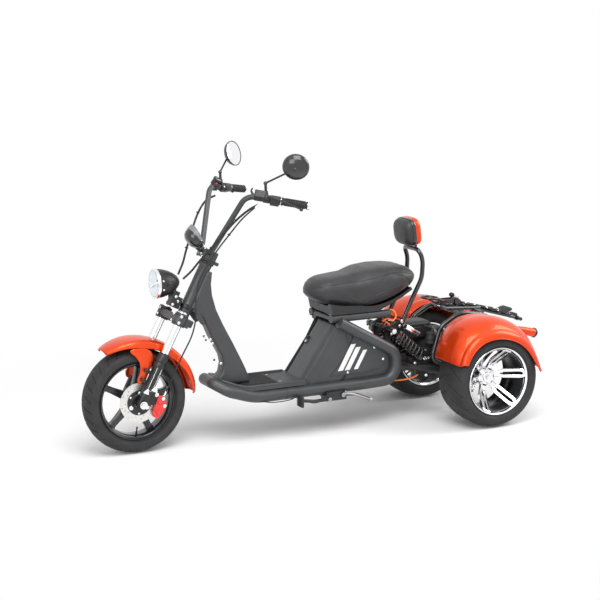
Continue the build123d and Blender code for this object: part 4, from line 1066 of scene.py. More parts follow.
def fender_ring(angle):
    """(angle, y, radius) points across the left rear fender, with a rolled band along the wheel's opening."""
    crown, inner, lip = (value_smooth(table, angle) for table in (CROWN, INNER, LIP))
    drop = crown - lip
    shape = [(0, inner), (0.05, inner + 0.32 * (crown - inner)), (0.12, inner + 0.64 * (crown - inner)),
             (0.2, crown - 9), (0.29, crown - 3), (0.46, crown), (0.6, crown - 4.5), (0.7, crown - 0.15 * drop),
             (0.79, crown - 0.30 * drop), (0.85, crown - 0.45 * drop), (0.874, crown - 0.53 * drop),
             (0.892, crown - 0.555 * drop), (0.925, crown - 0.575 * drop), (0.96, crown - 0.67 * drop),
             (0.985, crown - 0.82 * drop), (1, lip)]
    line = []
    for point in flow([(share, radius, 0) for share, radius in shape], 3):
        share = point.x
        front = 9 * max(0.0, (0.22 - share) / 0.22) ** 2 + 5 * max(0.0, (share - 0.86) / 0.14) ** 2
        turn = math.radians(max(angle, 24 + front))
        line.append((point.y * math.cos(turn), FENDER_IN + (FENDER_OUT - FENDER_IN) * share,
                     REAR_R + point.y * math.sin(turn)))
    return line


POD_TIP = Vector((-286, 293.4, REAR_R + 184))
POD_ROOT = Vector((-96, 293.4, REAR_R + 232))


def make_rear_fenders():
    """Flared fenders with beaded edges, and the long pods that carry the tail lamps."""
    rings = [fender_ring(24 + 148 * step / 84) for step in range(85)]
    shell = Form().loft(rings, ROW, sheet=True)
    edge = Form()
    edge.tube([ring[0] for ring in rings], 3.4, 10)
    edge.tube([ring[-1] for ring in rings], 2.6, 10)
    edge.tube(rings[0], 2.6, 10)
    edge.tube(rings[-1], 2.6, 10)
    run = (POD_TIP - POD_ROOT).normalized()
    pod = Form()
    sizes = [(0, 6), (0.2, 13), (0.45, 19), (0.7, 22), (0.93, 23), (1, 23)]
    path = [POD_ROOT.lerp(POD_TIP, k / 20) for k in range(21)]
    pod.tube(path, lambda share: value(sizes, share), 32, flat=0.92)
    lamp, rim = Form(), Form()
    place = spot(ROW @ POD_TIP, (ROW.to_3x3() @ run), SIDE)
    rim.turned([(23.4, -6), (24, -4), (24, 1), (22.6, 2.4), (20.4, 2.4), (20.4, -6)], place, 40, loop=True)
    lamp.turned([(20.2, 0), (20.2, 4), (18.5, 8), (14, 10.8), (7, 12.2), (0, 12.6)], place, 40, caps=False)
    for size in (5, 10, 15):
        lamp.turned([(size + 0.6, 12 - size * 0.11), (size, 13.1 - size * 0.13), (size - 0.6, 12.3 - size * 0.11)],
                    place, 32, loop=True)
    for hand, name in ((1, "left"), (-1, "right")):
        forms = [form if hand > 0 else mirrored(form) for form in (shell, edge, pod, lamp, rim)]
        skin = piece("rear_fender_" + name, forms[0], "orange", "chassis",
                     ["rear_fenders"] if hand > 0 else (), crease=70, solid=3.2)
        skin.modifiers["wall"].offset = -1
        piece("rear_fender_edge_" + name, forms[1], "orange", "chassis", crease=70)
        piece("rear_fender_pod_" + name, forms[2], "orange", "chassis", crease=50)
        piece("tail_lamp_" + name, forms[3], "tail_lens", "chassis",
              ["tail_lamps"] if hand > 0 else (), crease=50)
        piece("tail_lamp_rim_" + name, forms[4], "black", "chassis", crease=40)
    stays = Form()
    heads = Form()
    for x, z in ((120, 428), (-40, 500), (-160, 420)):
        stays.tube(bent([(x, 120, z - 6), (x, 168, z), (x, 196, z + 8)], [20]), 7, 12)
        bolt(heads, at(x, 196, z + 12), (0, -0.4, 1), 6, 4)
    stays.copy_mirrored()
    heads.copy_mirrored()
    piece("rear_fender_stays", stays, "satin_black", "chassis")
    piece("rear_fender_bolts", heads, "steel", "chassis")


# ---------------------------------------------------------------- soft pieces
def fixed_mesh(thing):
    """Bakes a piece's modifiers into its mesh."""
    graph = bpy.context.evaluated_depsgraph_get()
    mesh = bpy.data.meshes.new_from_object(thing.evaluated_get(graph))
    thing.modifiers.clear()
    old = thing.data
    thing.data = mesh
    bpy.data.meshes.remove(old)


def stuff(thing, voxel, cap, hold=None, pressure=4.0):
    """Remeshes a pad, lets it swell as filled cloth, and holds the swelling under a cap in millimetres."""
    grid = thing.modifiers.new("grid", "REMESH")
    grid.mode = "VOXEL"
    grid.voxel_size = voxel * MM
    soften = thing.modifiers.new("soften", "SMOOTH")
    soften.factor, soften.iterations = 0.5, 8
    fixed_mesh(thing)
    start = [vertex.co.copy() for vertex in thing.data.vertices]
    scene = bpy.context.scene
    held = thing.vertex_groups.new(name="held")
    if hold:
        held.add([i for i, point in enumerate(start) if hold(point)], 1.0, "REPLACE")
    cloth = thing.modifiers.new("cloth", "CLOTH")
    cloth.settings.quality = 5
    cloth.settings.mass = 0.3
    cloth.settings.tension_stiffness = 18
    cloth.settings.compression_stiffness = 18
    cloth.settings.bending_stiffness = 0.6
    cloth.settings.use_pressure = True
    cloth.settings.uniform_pressure_force = pressure
    cloth.settings.vertex_group_mass = "held"
    cloth.settings.effector_weights.gravity = 0
    cloth.point_cache.frame_start, cloth.point_cache.frame_end = 1, 20
    for number in range(1, 21):
        scene.frame_set(number)
    fixed_mesh(thing)
    for vertex, first in zip(thing.data.vertices, start):
        move = vertex.co - first
        if move.length > cap * MM:
            vertex.co = first + move.normalized() * cap * MM
    scene.frame_set(1)
    soften = thing.modifiers.new("soften", "SMOOTH")
    soften.factor, soften.iterations = 0.5, 5
    finer = thing.modifiers.new("finer", "SUBSURF")
    finer.levels = finer.render_levels = 1
    fixed_mesh(thing)
    thing.data.polygons.foreach_set("use_smooth", [True] * len(thing.data.polygons))
    return thing


def surface_of(thing):
    """A tree for rays against a piece's own mesh."""
    return BVHTree.FromPolygons([vertex.co for vertex in thing.data.vertices],
                                [tuple(face.vertices) for face in thing.data.polygons])


def laid(tree, starts, way, lift=0.0):
    """Points where rays from starts, in millimetres, meet a surface, lifted off it along its normal."""
    line = []
    for start in starts:
        hit, normal, _, _ = tree.ray_cast(ROW @ Vector(start), Vector(way).normalized())
        if hit:
            if normal.dot(Vector(way)) > 0:
                normal = -normal
            line.append(hit + normal * lift * MM)
    return line


def stitches(form, line, every=6.0, length=3.6, radius=0.45):
    """Short threads along a line of points in metres."""
    run, next_at = 0.0, 0.0
    for a, b in zip(line, line[1:]):
        step = (b - a).length / MM
        while step > 1e-6 and next_at < run + step:
            share = (next_at - run) / step
            here = a.lerp(b, share)
            way = (b - a).normalized() * length * MM / 2
            form.tube([here - way, here, here + way], radius * MM, 5, place=RAW)
            next_at += every
        run += step
    return form


SEAT_RAIL = 540.0
LOOP_X = 391.0
# x, half width, and bottom and top over the seat rails
SEAT_STATIONS = [(429, 14, 112, 130), (425, 34, 102, 137), (418, 48, 94, 146), (404, 68, 82, 157), (380, 94, 68, 172),
                 (345, 113, 57, 182), (290, 124, 48, 187), (219, 136, 40, 194), (139, 152, 34, 215),
                 (59, 162, 50, 222), (-21, 162, 84, 219), (-81, 146, 118, 211), (-105, 122, 138, 200),
                 (-113, 96, 148, 190)]


def seat_ring(x, half, low, high, shrink=2.0):
    """One section of the saddle: crowned on top, tucked in under its sides."""
    ring = []
    middle_z, height = (low + high) / 2, (high - low) / 2 - shrink
    half -= shrink
    for step in range(40):
        turn = math.tau * step / 40
        c, s = math.cos(turn), math.sin(turn)
        power = 0.62 if s > 0 else 0.72
        y = half * math.copysign(abs(c) ** power, c)
        z = height * math.copysign(abs(s) ** 0.72, s)
        if s > 0:
            z += 2.5 * (1 - (y / half) ** 2)
        ring.append((x, y * (1 - 0.05 * max(0.0, -s)), SEAT_RAIL + middle_z + z))
    return ring


def make_seat():
    """Saddle of two levels, with its side panels' seams and a welt along its foot."""
    rings = []
    for first, second in zip(SEAT_STATIONS, SEAT_STATIONS[1:]):
        for k in range(3):
            t = k / 3
            rings.append(seat_ring(LOOP_X + first[0] + (second[0] - first[0]) * t,
                                   *[a + (b - a) * t for a, b in zip(first[1:], second[1:])]))
    last = SEAT_STATIONS[-1]
    rings.append(seat_ring(LOOP_X + last[0], *last[1:]))
    cushion = piece("saddle", Form().loft(rings), "leather", "chassis", ["seat"])
    low = (SEAT_RAIL + 50) * MM
    stuff(cushion, 6.0, 6.0, lambda point: point.z < low and abs(point.y) < 0.09)
    tree = surface_of(cushion)
    outline = [(318, 668), (334, 700), (366, 724), (417, 738), (458, 732), (493, 706), (520, 660), (540, 606)]
    welt, threads = Form(), Form()
    for side in (1, -1):
        starts = [(p.x, 400 * side, p.y) for p in flow([(x, z, 0) for x, z in outline], 10)]
        line = laid(tree, starts, (0, -side, 0), -0.2)
        welt.tube(line, 2.2 * MM, 8, place=RAW)
        inner = laid(tree, [(x + 5, y, z - 5) for x, y, z in starts], (0, -side, 0), 0.3)
        stitches(threads, inner)
    foot = []
    for step in range(121):
        turn = math.radians(-148 + 296 * step / 120)
        x = LOOP_X + 165 + 320 * math.cos(turn)
        way = Vector((-math.cos(turn), -math.sin(turn) * 0.62, 0))
        base = straight([(100, 690), (282, 690), (310, 674), (370, 642), (450, 606), (530, 590), (610, 592),
                         (690, 600), (760, 616), (800, 632), (850, 652)], x)
        hits = laid(tree, [(x, 330 * math.sin(turn), base)], way, 0.0)
        foot += hits
    for side in (1, -1):
        edge_line = [(300, 722), (360, 738), (430, 741), (500, 726), (580, 712), (660, 706), (730, 700), (790, 690)]
        starts = [(p.x, 400 * side, p.y) for p in flow([(x, z, 0) for x, z in edge_line], 10)]
        welt.tube(laid(tree, starts, (0, -side, 0), -0.2), 2.0 * MM, 8, place=RAW)
    welt.tube(foot, 2.4 * MM, 8, place=RAW)
    piece("saddle_welts", welt, "leather", "chassis", crease=70)
    piece("saddle_stitches", threads, "thread", "chassis", crease=70)


BACK = Matrix.Translation(at(245, 0, 913)) @ Matrix.Rotation(math.radians(7.5), 4, "Y") @ Matrix.Scale(MM, 4)


def squircle(half_w, half_h, x, steps=56, power=0.56):
    """A rounded rectangle facing along the backrest's own x."""
    ring = []
    for step in range(steps):
        turn = math.tau * step / steps
        c, s = math.cos(turn), math.sin(turn)
        ring.append((x, half_w * math.copysign(abs(c) ** power, c), half_h * math.copysign(abs(s) ** power, s)))
    return ring


def make_backrest():
    """Backrest: a stuffed pad in a dark rim in front of a painted shell."""
    sizes = [(17, 68, 56), (19, 75, 63), (27, 78, 66), (42, 77, 64), (52, 73, 58), (59, 65, 48), (64, 50, 33),
             (66.5, 28, 16)]
    cushion = piece("backrest_cushion", Form().loft([squircle(w, h, x) for x, w, h in sizes], BACK),
                    "leather", "chassis", ["backrest_pad"])
    edge = BACK.inverted()
    stuff(cushion, 4.0, 4.0, lambda point: (edge @ point).x < 22)
    rim = Form().loft([squircle(w, h, x) for x, w, h in ((14, 76, 64), (14.6, 79.4, 67.6), (17, 80.4, 68.6),
                                                         (28, 80.4, 68.6), (31, 79, 67), (31, 74, 62), (15, 74, 62))],
                      BACK, loop=True)
    piece("backrest_rim", rim, "gloss", "chassis", crease=40)
    shell = Form().loft([squircle(w, h, x) for x, w, h in ((14.4, 79, 67), (10, 80, 68), (-8, 79, 67), (-13, 75, 63),
                                                           (-15, 66, 54), (-15.6, 40, 30), (-15.8, 12, 8))], BACK)
    piece("backrest_back", shell, "orange", "chassis", ["backrest_shell"], crease=60)
    heads = Form()
    for y, z in ((45, 30), (45, -30)):
        bolt(heads, BACK @ Vector((-15.4, y, z)), (-1, 0, 0.13), 4.5, 3)
    heads.copy_mirrored()
    piece("backrest_screws", heads, "chrome", "chassis")
    feet = Form()
    for x, z in ((338, 490), (349, 468)):
        bolt(feet, at(x, 84, z), SIDE, 6, 5)
    feet.copy_mirrored()
    piece("backrest_foot_bolts", feet, "chrome", "chassis")


# ---------------------------------------------------------------- bag carrier
def flat_bar(form, start, end, width, thick, rise=0.0):
    """A flat bar with rounded ends, lying on its side along the way from start to end, in millimetres."""
    start, end = Vector(start), Vector(end)
    way = (end - start).normalized()
    place = spot(ROW @ ((start + end) / 2), (Vector((0, 0, 1)) - way * way.z), (end - start))
    length = (end - start).length
    return form.block((length, width, thick), place, (0, 0, rise), width * 0.48)


def make_rack():
    """Flat bars, rivets and pads on the carrier's arms, and the folded cradle with its ring and knob."""
    bars, rivets, pads = Form(), Form(), Form()
    for y in (30, -30):
        flat_bar(bars, (-40, y * 1.25, 536), (-262, y * 1.05, 480), 15, 5)
        flat_bar(bars, (-56, y * 0.72, 530), (-300, y * 0.62, 466), 12, 5)
        flat_bar(bars, (-150, y * 1.7, 506), (-330, y * 1.25, 452), 13, 4)
        for share in (0.06, 0.3, 0.62, 0.93):
            point = Vector((-40, y * 1.25, 539.5)).lerp(Vector((-262, y * 1.05, 483.5)), share)
            bolt(rivets, ROW @ point, (0.24, 0, 1), 4.2, 2.6, socket=False)
        for share in (0.12, 0.5, 0.9):
            point = Vector((-150, y * 1.7, 509)).lerp(Vector((-330, y * 1.25, 455)), share)
            bolt(rivets, ROW @ point, (0.28, 0, 1), 4.0, 2.4, socket=False)
    for centre, size, tilt in (((-300, 0, 474), (62, 96, 12), 0.36), ((-352, 0, 442), (40, 74, 11), 0.42)):
        place = spot(at(*centre), (tilt, 0, 1), (1, 0, -tilt))
        rings = []
        for w, h, z in ((0.86, 0.86, -0.5), (1, 1, -0.25), (1, 1, 0.2), (0.84, 0.88, 0.5)):
            rings.append([(x, y, size[2] * z - 0.0012 * y * y) for x, y in
                          rounded_rectangle(size[0] * w, size[1] * h, 16, 6)])
        pads.loft(rings, place)
    piece("rack_bars", bars, "satin_black", "chassis", bevel=0.8)
    piece("rack_rivets", rivets, "chrome", "chassis")
    piece("rack_pads", pads, "rubber", "chassis", bevel=1.0, crease=40)
    cradle = Form()
    tray = rounded_rectangle(92, 40, 5, 4)
    tray_place = spot(at(44, 0, 548), (0, 0, 1), (1, 0, 0))
    inner = [(x * 0.93, y * 0.86) for x, y in tray]
    rings = [[(x, y, z) for x, y in outline] for outline, z in
             ((tray, -11), (tray, 12), (inner, 12), (inner, -8))]
    cradle.loft(rings, tray_place)
    ring_place = spot(at(132, 0, 572), (-0.1, 0, 1), (1, 0, 0))
    hoop = [(46 * math.cos(math.tau * k / 64), 44 * math.sin(math.tau * k / 64), 0) for k in range(64)]
    cradle.tube(hoop, 5.6, 14, loop=True, place=ring_place, flat=0.8)
    cradle.tube([(99, 14, 566), (80, 16, 558), (60, 17, 552)], 5, 12)
    cradle.tube([(99, -14, 566), (80, -16, 558), (60, -17, 552)], 5, 12)
    cradle.tube([(138, 0, 566), (112, 0, 550), (86, 0, 538)], 5, 12)
    cradle.turned([(4.5, -22), (12, -22), (13, -20), (13, 20), (12, 22), (4.5, 22)], spot(at(-14, 0, 550), SIDE), 32,
                  loop=True)
    cradle.block((52, 30, 8), spot(at(6, 0, 540), (0.1, 0, 1), (1, 0, -0.1)), (0, 0, 0), 4)
    piece("rack_cradle_tray", cradle, "gloss", "rack_arm", ["rack_cradle"], bevel=0.7)
    knob = Form()
    knob.turned([(0, -3), (5, -3), (5, 5), (11, 8), (14, 13), (14, 20), (11, 25), (5, 27), (0, 27)],
                spot(at(10, 0, 560), (-0.35, 0, 1)), 32, caps=False)
    piece("rack_knob", knob, "rubber", "rack_arm", crease=50)
    clip = Form().tube(bent([(-6, 14, 566), (-24, 14, 572), (-26, 14, 540), (-26, -14, 540), (-24, -14, 572),
                             (-6, -14, 566)], [5, 5, 5, 5]), 1.5, 8)
    clip.tube([(65, 40, 519), (-92, 40, 463)], 4.2, 12)
    clip.tube([(65, -40, 519), (-92, -40, 463)], 4.2, 12)
    piece("rack_clip", clip, "chrome", "chassis", crease=60)


# ---------------------------------------------------------------- side covers, deck and neck
SIDE_Y = 113.0
COVER_REACH = [(240, 118), (266, 116), (276, 158), (300, 176), (345, 184), (430, 176), (500, 60), (520, 50)]
CASE_LOW, CASE_HIGH = Vector((890, 0, 240)), Vector((705, 0, 508))


def make_front_cover():
    """Moulded cover over the front of the battery's case, wrapped round its corners on to the sides."""
    half, radius, lift = 107.0, 50.0, 3.0
    slope = (CASE_HIGH - CASE_LOW).normalized()
    out = Vector((slope.z, 0, -slope.x))
    back = -out
    rings = []
    for step in range(33):
        share = step / 32
        low = CASE_LOW.lerp(CASE_HIGH, share) + slope * (2 if step else 6)
        z = low.z
        reach = straight(COVER_REACH, z)
        half_ring = []
        for k in range(7):
            half_ring.append((half - radius) * k / 6)
        ring = [(low + out * lift, y) for y in half_ring]
        for k in range(1, 13):
            turn = math.radians(90 * k / 12)
            ring.append((low + out * lift + back * radius * (1 - math.cos(turn)),
                         half - radius + (radius + lift) * math.sin(turn)))
        for k in range(1, 7):
            ring.append((low + back * (radius + max(0.0, reach - radius) * k / 6) + out * lift * (1 - k / 6),
                         half + lift))
        right = [(point.x, y, point.z) for point, y in ring]
        left = [(x, -y, z2) for x, y, z2 in reversed(right[1:])]
        rings.append(left + right)
    cover = Form().loft(rings, ROW, sheet=True)
    skin = piece("battery_front_cover", cover, "frame", "chassis", crease=40, solid=2.0)
    skin.modifiers["wall"].offset = -1
    edge = Form()
    for column in (0, -1):
        edge.tube([ring[column] for ring in rings], 1.5, 8)
    edge.tube(rings[0], 1.5, 8)
    piece("front_cover_edge", edge, "frame", "chassis", crease=60)
    lock = Form()
    face = CASE_LOW.lerp(CASE_HIGH, 0.62) + out * lift
    place = spot(at(face.x, -62, face.z), out, SIDE)
    lock.turned([(0, 0), (15, 0), (15, 3), (13, 5), (9, 5), (8, 4), (0, 4)], place, 32, caps=False)
    lock.block((12, 22, 10), place, (0, 16, 4), 3)
    piece("battery_lock", lock, "black", "chassis", bevel=0.8)
    slot = Form().block((2, 9, 1), place, (0, 0, 4.6), 0.8)
    slot.turned([(5, 4.2), (8, 4.2), (8, 5.4), (5, 5.4)], place, 32, loop=True)
    piece("battery_lock_face", slot, "chrome", "chassis")
    seam = Form()
    line = [(CASE_LOW.lerp(CASE_HIGH, k / 24) + out * (lift + 0.4)) for k in range(1, 24)]
    seam.tube([(p.x, -88, p.z) for p in line], 1.6, 8)
    piece("front_cover_seam", seam, "black", "chassis", crease=60)


def make_covers():
    """Stripes, screws and a raised border on each side cover."""
    stripes = Form()
    for low, high, top in ((702, 675, 411), (665, 638, 394), (616, 594, 377)):
        lean = (top - 288) * 69 / 123
        stripes.side_slab([(low, 288), (high, 288), (high - lean, top), (low - lean, top)], SIDE_Y + 0.05, SIDE_Y + 0.5)
    stripes.copy_mirrored()
    piece("cover_stripes", stripes, "stripe", "chassis")
    screws = Form()
    for x, z in ((457, 322), (648, 276), (505, 384)):
        bolt(screws, at(x, SIDE_Y, z), SIDE, 4.2, 2.4)
    screws.copy_mirrored()
    piece("cover_screws", screws, "chrome", "chassis")
    border = Form()
    line = [(738, 271), (560, 272), (494, 283), (456, 309), (446, 334), (458, 358), (503, 386), (592, 437),
            (608, 446)]
    border.tube([(p.x, SIDE_Y + 0.2, p.y) for p in flow([(x, z, 0) for x, z in line], 6)], 1.5, 8)
    border.copy_mirrored()
    piece("cover_border", border, "frame", "chassis", crease=60)
    web = Form()
    line = [(694, 512), (391, 350), (391, 222), (430, 212), (560, 214), (878, 214), (884, 246), (870, 268),
            (760, 420), (716, 500)]
    web.side_slab(line, 104.5, 107.4)
    web.copy_mirrored()
    piece("cover_web", web, "frame", "chassis", bevel=0.6)


def make_floor_mat():
    """Ribbed mat on the footboard, its edge trim and the screws that hold the board."""
    mat = Form()
    mat.block((164, 170, 1.0), spot(at(1085, 0, 265.4)), (0, 0, 0), 8)
    for index in range(17):
        y = -80 + 10 * index
        mat.block((156, 4.4, 1.6), spot(at(1085, y, 266.4)), (0, 0, 0), 2)
    piece("floor_mat", mat, "rubber", "chassis", bevel=0.4)
    heads = Form()
    for x in (985, 1185):
        bolt(heads, at(x, 72, 262), (0, 0, 1), 5.5, 2.6)
    heads.copy_mirrored()
    piece("floor_screws", heads, "steel", "chassis")
    strips = Form()
    strips.block((290, 3, 2), spot(at(1040, 93, 263)), (0, 0, 0), 1)
    strips.copy_mirrored()
    piece("floor_strips", strips, "floor_plastic", "chassis", bevel=0.5)


make_rear_fenders()
make_seat()
make_backrest()
make_rack()
make_front_cover()
make_covers()
make_floor_mat()


# ---------------------------------------------------------------- handlebar
GRIP_UP, GRIP_FORE, GRIP_Y = 1105, -177, 338
BEND_UP, BEND_FORE, BEND_Y = 1034, 54, 200


def on_grip(reach, hand):
    """A point on the bar, reach in from a grip's end, and the way from there to that end."""
    end, bend = fork(GRIP_UP, GRIP_FORE, GRIP_Y * hand), fork(BEND_UP, BEND_FORE, BEND_Y * hand)
    way = (end - bend).normalized()
    return end - way * reach * MM, way


def make_grips():
    """Ribbed grips with chrome ends and collars."""
    grips, ends = Form(), Form()
    for hand in (1, -1):
        point, way = on_grip(120, hand)
        place = spot(point, way)
        profile = [(12.7, 0), (18, 0), (19, 2), (19, 6), (16.2, 8)]
        for index in range(12):
            low = 12 + 8 * index
            profile += [(15.4, low - 1.2), (16.9, low), (16.9, low + 5.2), (15.4, low + 6.4)]
        profile += [(15.8, 112), (17.5, 114), (17.5, 117), (12.7, 117)]
        grips.turned(profile, place, 40, loop=True)
        for index in range(10):
            turn = math.tau * index / 10
            groove = place @ Matrix.Translation((16.4 * math.cos(turn), 16.4 * math.sin(turn), 60))
            grips.block((3, 1.6, 92), groove @ Matrix.Rotation(turn, 4, "Z"), (0, 0, 0), 0.5)
        ends.turned([(12.6, 116.5), (17, 116.5), (18.4, 118), (18.4, 124), (16.5, 128), (9, 129.5), (0, 130)],
                    place, 40, caps=False)
        ends.turned([(12.7, -3), (17, -3), (17.4, -2), (17.4, -0.4), (12.7, -0.4)], place, 40, loop=True)
    piece("grip_rubbers", grips, "rubber", "steering", ["grips"], crease=35)
    piece("grip_ends", ends, "chrome", "steering", crease=35)


def make_controls():
    """Switch housings, lever perches, levers and the brake's cylinder."""
    black, bright, levers, small = Form(), Form(), Form(), Form()
    for hand in (1, -1):
        point, way = on_grip(147, hand)
        place = spot(point, way)
        black.turned([(12.7, -24), (19, -24), (20.5, -22), (20.5, 18), (19, 22), (12.7, 22)], place, 40, loop=True)
        black.block((34, 40, 38), place, (10, 0, -2), 10)
        perch, way = on_grip(186, hand)
        seat = spot(perch, way)
        black.turned([(12.7, -14), (17.5, -14), (18.5, -12), (18.5, 12), (17.5, 14), (12.7, 14)], seat, 40, loop=True)
        fore = (FORE - way * FORE.dot(way)).normalized()
        up = fore.cross(way) * (1 if fore.cross(way).z > 0 else -1)
        root = perch + fore * 30 * MM - up * 8 * MM
        black.tube([perch + fore * 12 * MM, root], 9 * MM, 14, place=RAW)
        black.tube([root - up * 8 * MM, root + up * 8 * MM], 11 * MM, 20, place=RAW)
        bolt(small, root + up * 8 * MM, up, 5, 3)
        path = [root + way * 4 * MM, root + way * 26 * MM + fore * 12 * MM - up * 6 * MM,
                root + way * 70 * MM + fore * 14 * MM - up * 14 * MM,
                root + way * 120 * MM + fore * 6 * MM - up * 24 * MM,
                root + way * 160 * MM - fore * 2 * MM - up * 32 * MM]
        levers.tube(flow(path, 8), lambda share: (6.6 - 2.0 * share) * MM, 14, place=RAW, flat=0.72)
        tip = spot(path[-1], (path[-1] - path[-2]))
        levers.turned([(0, -7)] + [(8 * math.sin(math.pi * k / 10), -8 * math.cos(math.pi * k / 10))
                                   for k in range(1, 10)] + [(0, 8)], tip, 20, caps=False)
        for turn in (0.7, 2.4):
            side = fore * math.cos(turn) + up * math.sin(turn)
            bolt(small, perch + side * 18.5 * MM, side, 3.2, 2.4)
    point, way = on_grip(216, 1)
    fore = (FORE - way * FORE.dot(way)).normalized()
    up = fore.cross(way) * (1 if fore.cross(way).z > 0 else -1)
    box = spot(point + fore * 16 * MM, up, way)
    black.block((52, 42, 34), box, (0, 0, 2), 6)
    bright.block((44, 34, 2.2), box, (0, 0, 20.2), 4)
    black.block((28, 10, 5), box, (0, 0, 22.6), 3)
    for x in (-17, 17):
        for y in (-12, 12):
            bolt(small, box @ Vector((x, y, 21)), up, 2.2, 1.6)
    for turn, size in ((0.9, 7), (-0.6, 6)):
        hook = [point + way * (-30 * MM) + up * size * MM, point + way * (-44 * MM) + up * (size + 22 * turn) * MM,
                point + way * (-40 * MM) + up * (size + 34 * turn) * MM + fore * 10 * MM]
        black.tube(flow(hook, 6), lambda share: (6 - 3 * share) * MM, 12, place=RAW)
    point, way = on_grip(214, -1)
    fore = (FORE - way * FORE.dot(way)).normalized()
    up = fore.cross(way) * (1 if fore.cross(way).z > 0 else -1)
    can = spot(point + fore * 22 * MM + up * 4 * MM, up)
    black.turned([(0, -12), (19, -12), (20, -10), (20, 14), (22, 15), (22, 22), (20, 24), (0, 24)], can, 40, caps=False)
    bright.turned([(0, 24), (15, 24), (15, 25.2), (13, 26), (0, 26)], can, 32, caps=False)
    black.block((40, 30, 30), spot(point - way * 26 * MM, up, way), (0, 0, 0), 6)
    red = Form()
    red.turned([(0, 0), (5.5, 0), (5.5, 3), (4, 4.5), (0, 4.5)], spot(point - way * 26 * MM + up * 15 * MM, up), 24,
               caps=False)
    point, way = on_grip(147, 1)
    for index, (fx, ux) in enumerate(((-0.75, 0.66), (-0.98, 0.05))):
        fore = (FORE - way * FORE.dot(way)).normalized()
        up = fore.cross(way) * (1 if fore.cross(way).z > 0 else -1)
        side = fore * fx + up * ux
        red.turned([(0, 0), (4.6, 0), (4.6, 2.5), (3.6, 3.6), (0, 3.6)],
                   spot(point + side * 20 * MM + way * (index * 12 - 6) * MM, side), 20, caps=False)
    piece("switch_housings", black, "black", "steering", ["hand_controls"], bevel=1.2)
    piece("switch_faces", bright, "steel", "steering", bevel=0.5)
    piece("brake_levers", levers, "satin_black", "steering", crease=60)
    piece("control_screws", small, "chrome", "steering")
    piece("switch_buttons", red, "red", "steering")


def make_mirrors():
    """Round mirrors: domed backs with a stepped rim, glass, ball joints and jointed stems."""
    shells, stems, balls, glasses = Form(), Form(), Form(), Form()
    for hand in (1, -1):
        middle_point = fork(1235, -47, 327 * hand)
        face = Vector((-0.528, -0.812 * hand, 0.25)).normalized()
        place = spot(middle_point, face)
        shells.turned([(56.2, -3.4), (56.2, 0.2), (58, 1.2), (60, 0.4), (60.4, -3), (60, -8), (57, -14), (50, -21),
                       (38, -28), (24, -32.5), (10, -34.4), (0, -34.8)], place, 80, caps=False)
        shells.turned([(52, -20.5), (53.4, -19.6), (53, -17.4), (51.6, -18.6)], place, 64, loop=True)
        glasses.turned([(56, -3.2), (56, -1.0), (54.5, -0.6), (0, -0.2)], place, 80, caps=False)
        foot, _ = on_grip(188, hand)
        elbow = foot + Vector((4, 0, 70)) * MM
        joint = middle_point - face * 28 * MM
        stems.tube(flow([foot, foot.lerp(elbow, 0.5), elbow], 6), 6.2 * MM, 16, place=RAW)
        stems.tube([elbow, elbow.lerp(joint, 0.5), joint], 4.4 * MM, 14, place=RAW)
        base = spot(foot, (0, 0, 1))
        stems.turned([(6, 12), (10, 12), (10, 24), (8, 27), (6, 27)], base, 6, loop=True)
        stems.turned([(6, 28), (9, 28), (9, 34), (6, 35)], base, 6, loop=True)
        for centre, size in ((elbow, 9.2), (joint, 10)):
            ball = [(size * math.sin(math.pi * k / 12), -size * math.cos(math.pi * k / 12)) for k in range(13)]
            balls.turned(ball, spot(centre, (0, 0.3, 1)), 28, caps=False)
        balls.turned([(0, -6), (7, -6), (7.5, -5), (7.5, 5), (7, 6), (0, 6)],
                     spot(elbow, FORE, SIDE), 6, caps=False)
    piece("mirror_shells", shells, "gloss", "steering", ["mirrors"], crease=35)
    piece("mirror_stems", stems, "satin_black", "steering", crease=40)
    piece("mirror_joints", balls, "gloss", "steering", crease=50)
    piece("mirror_faces", glasses, "mirror", "steering", ["mirror_glass"], crease=50)


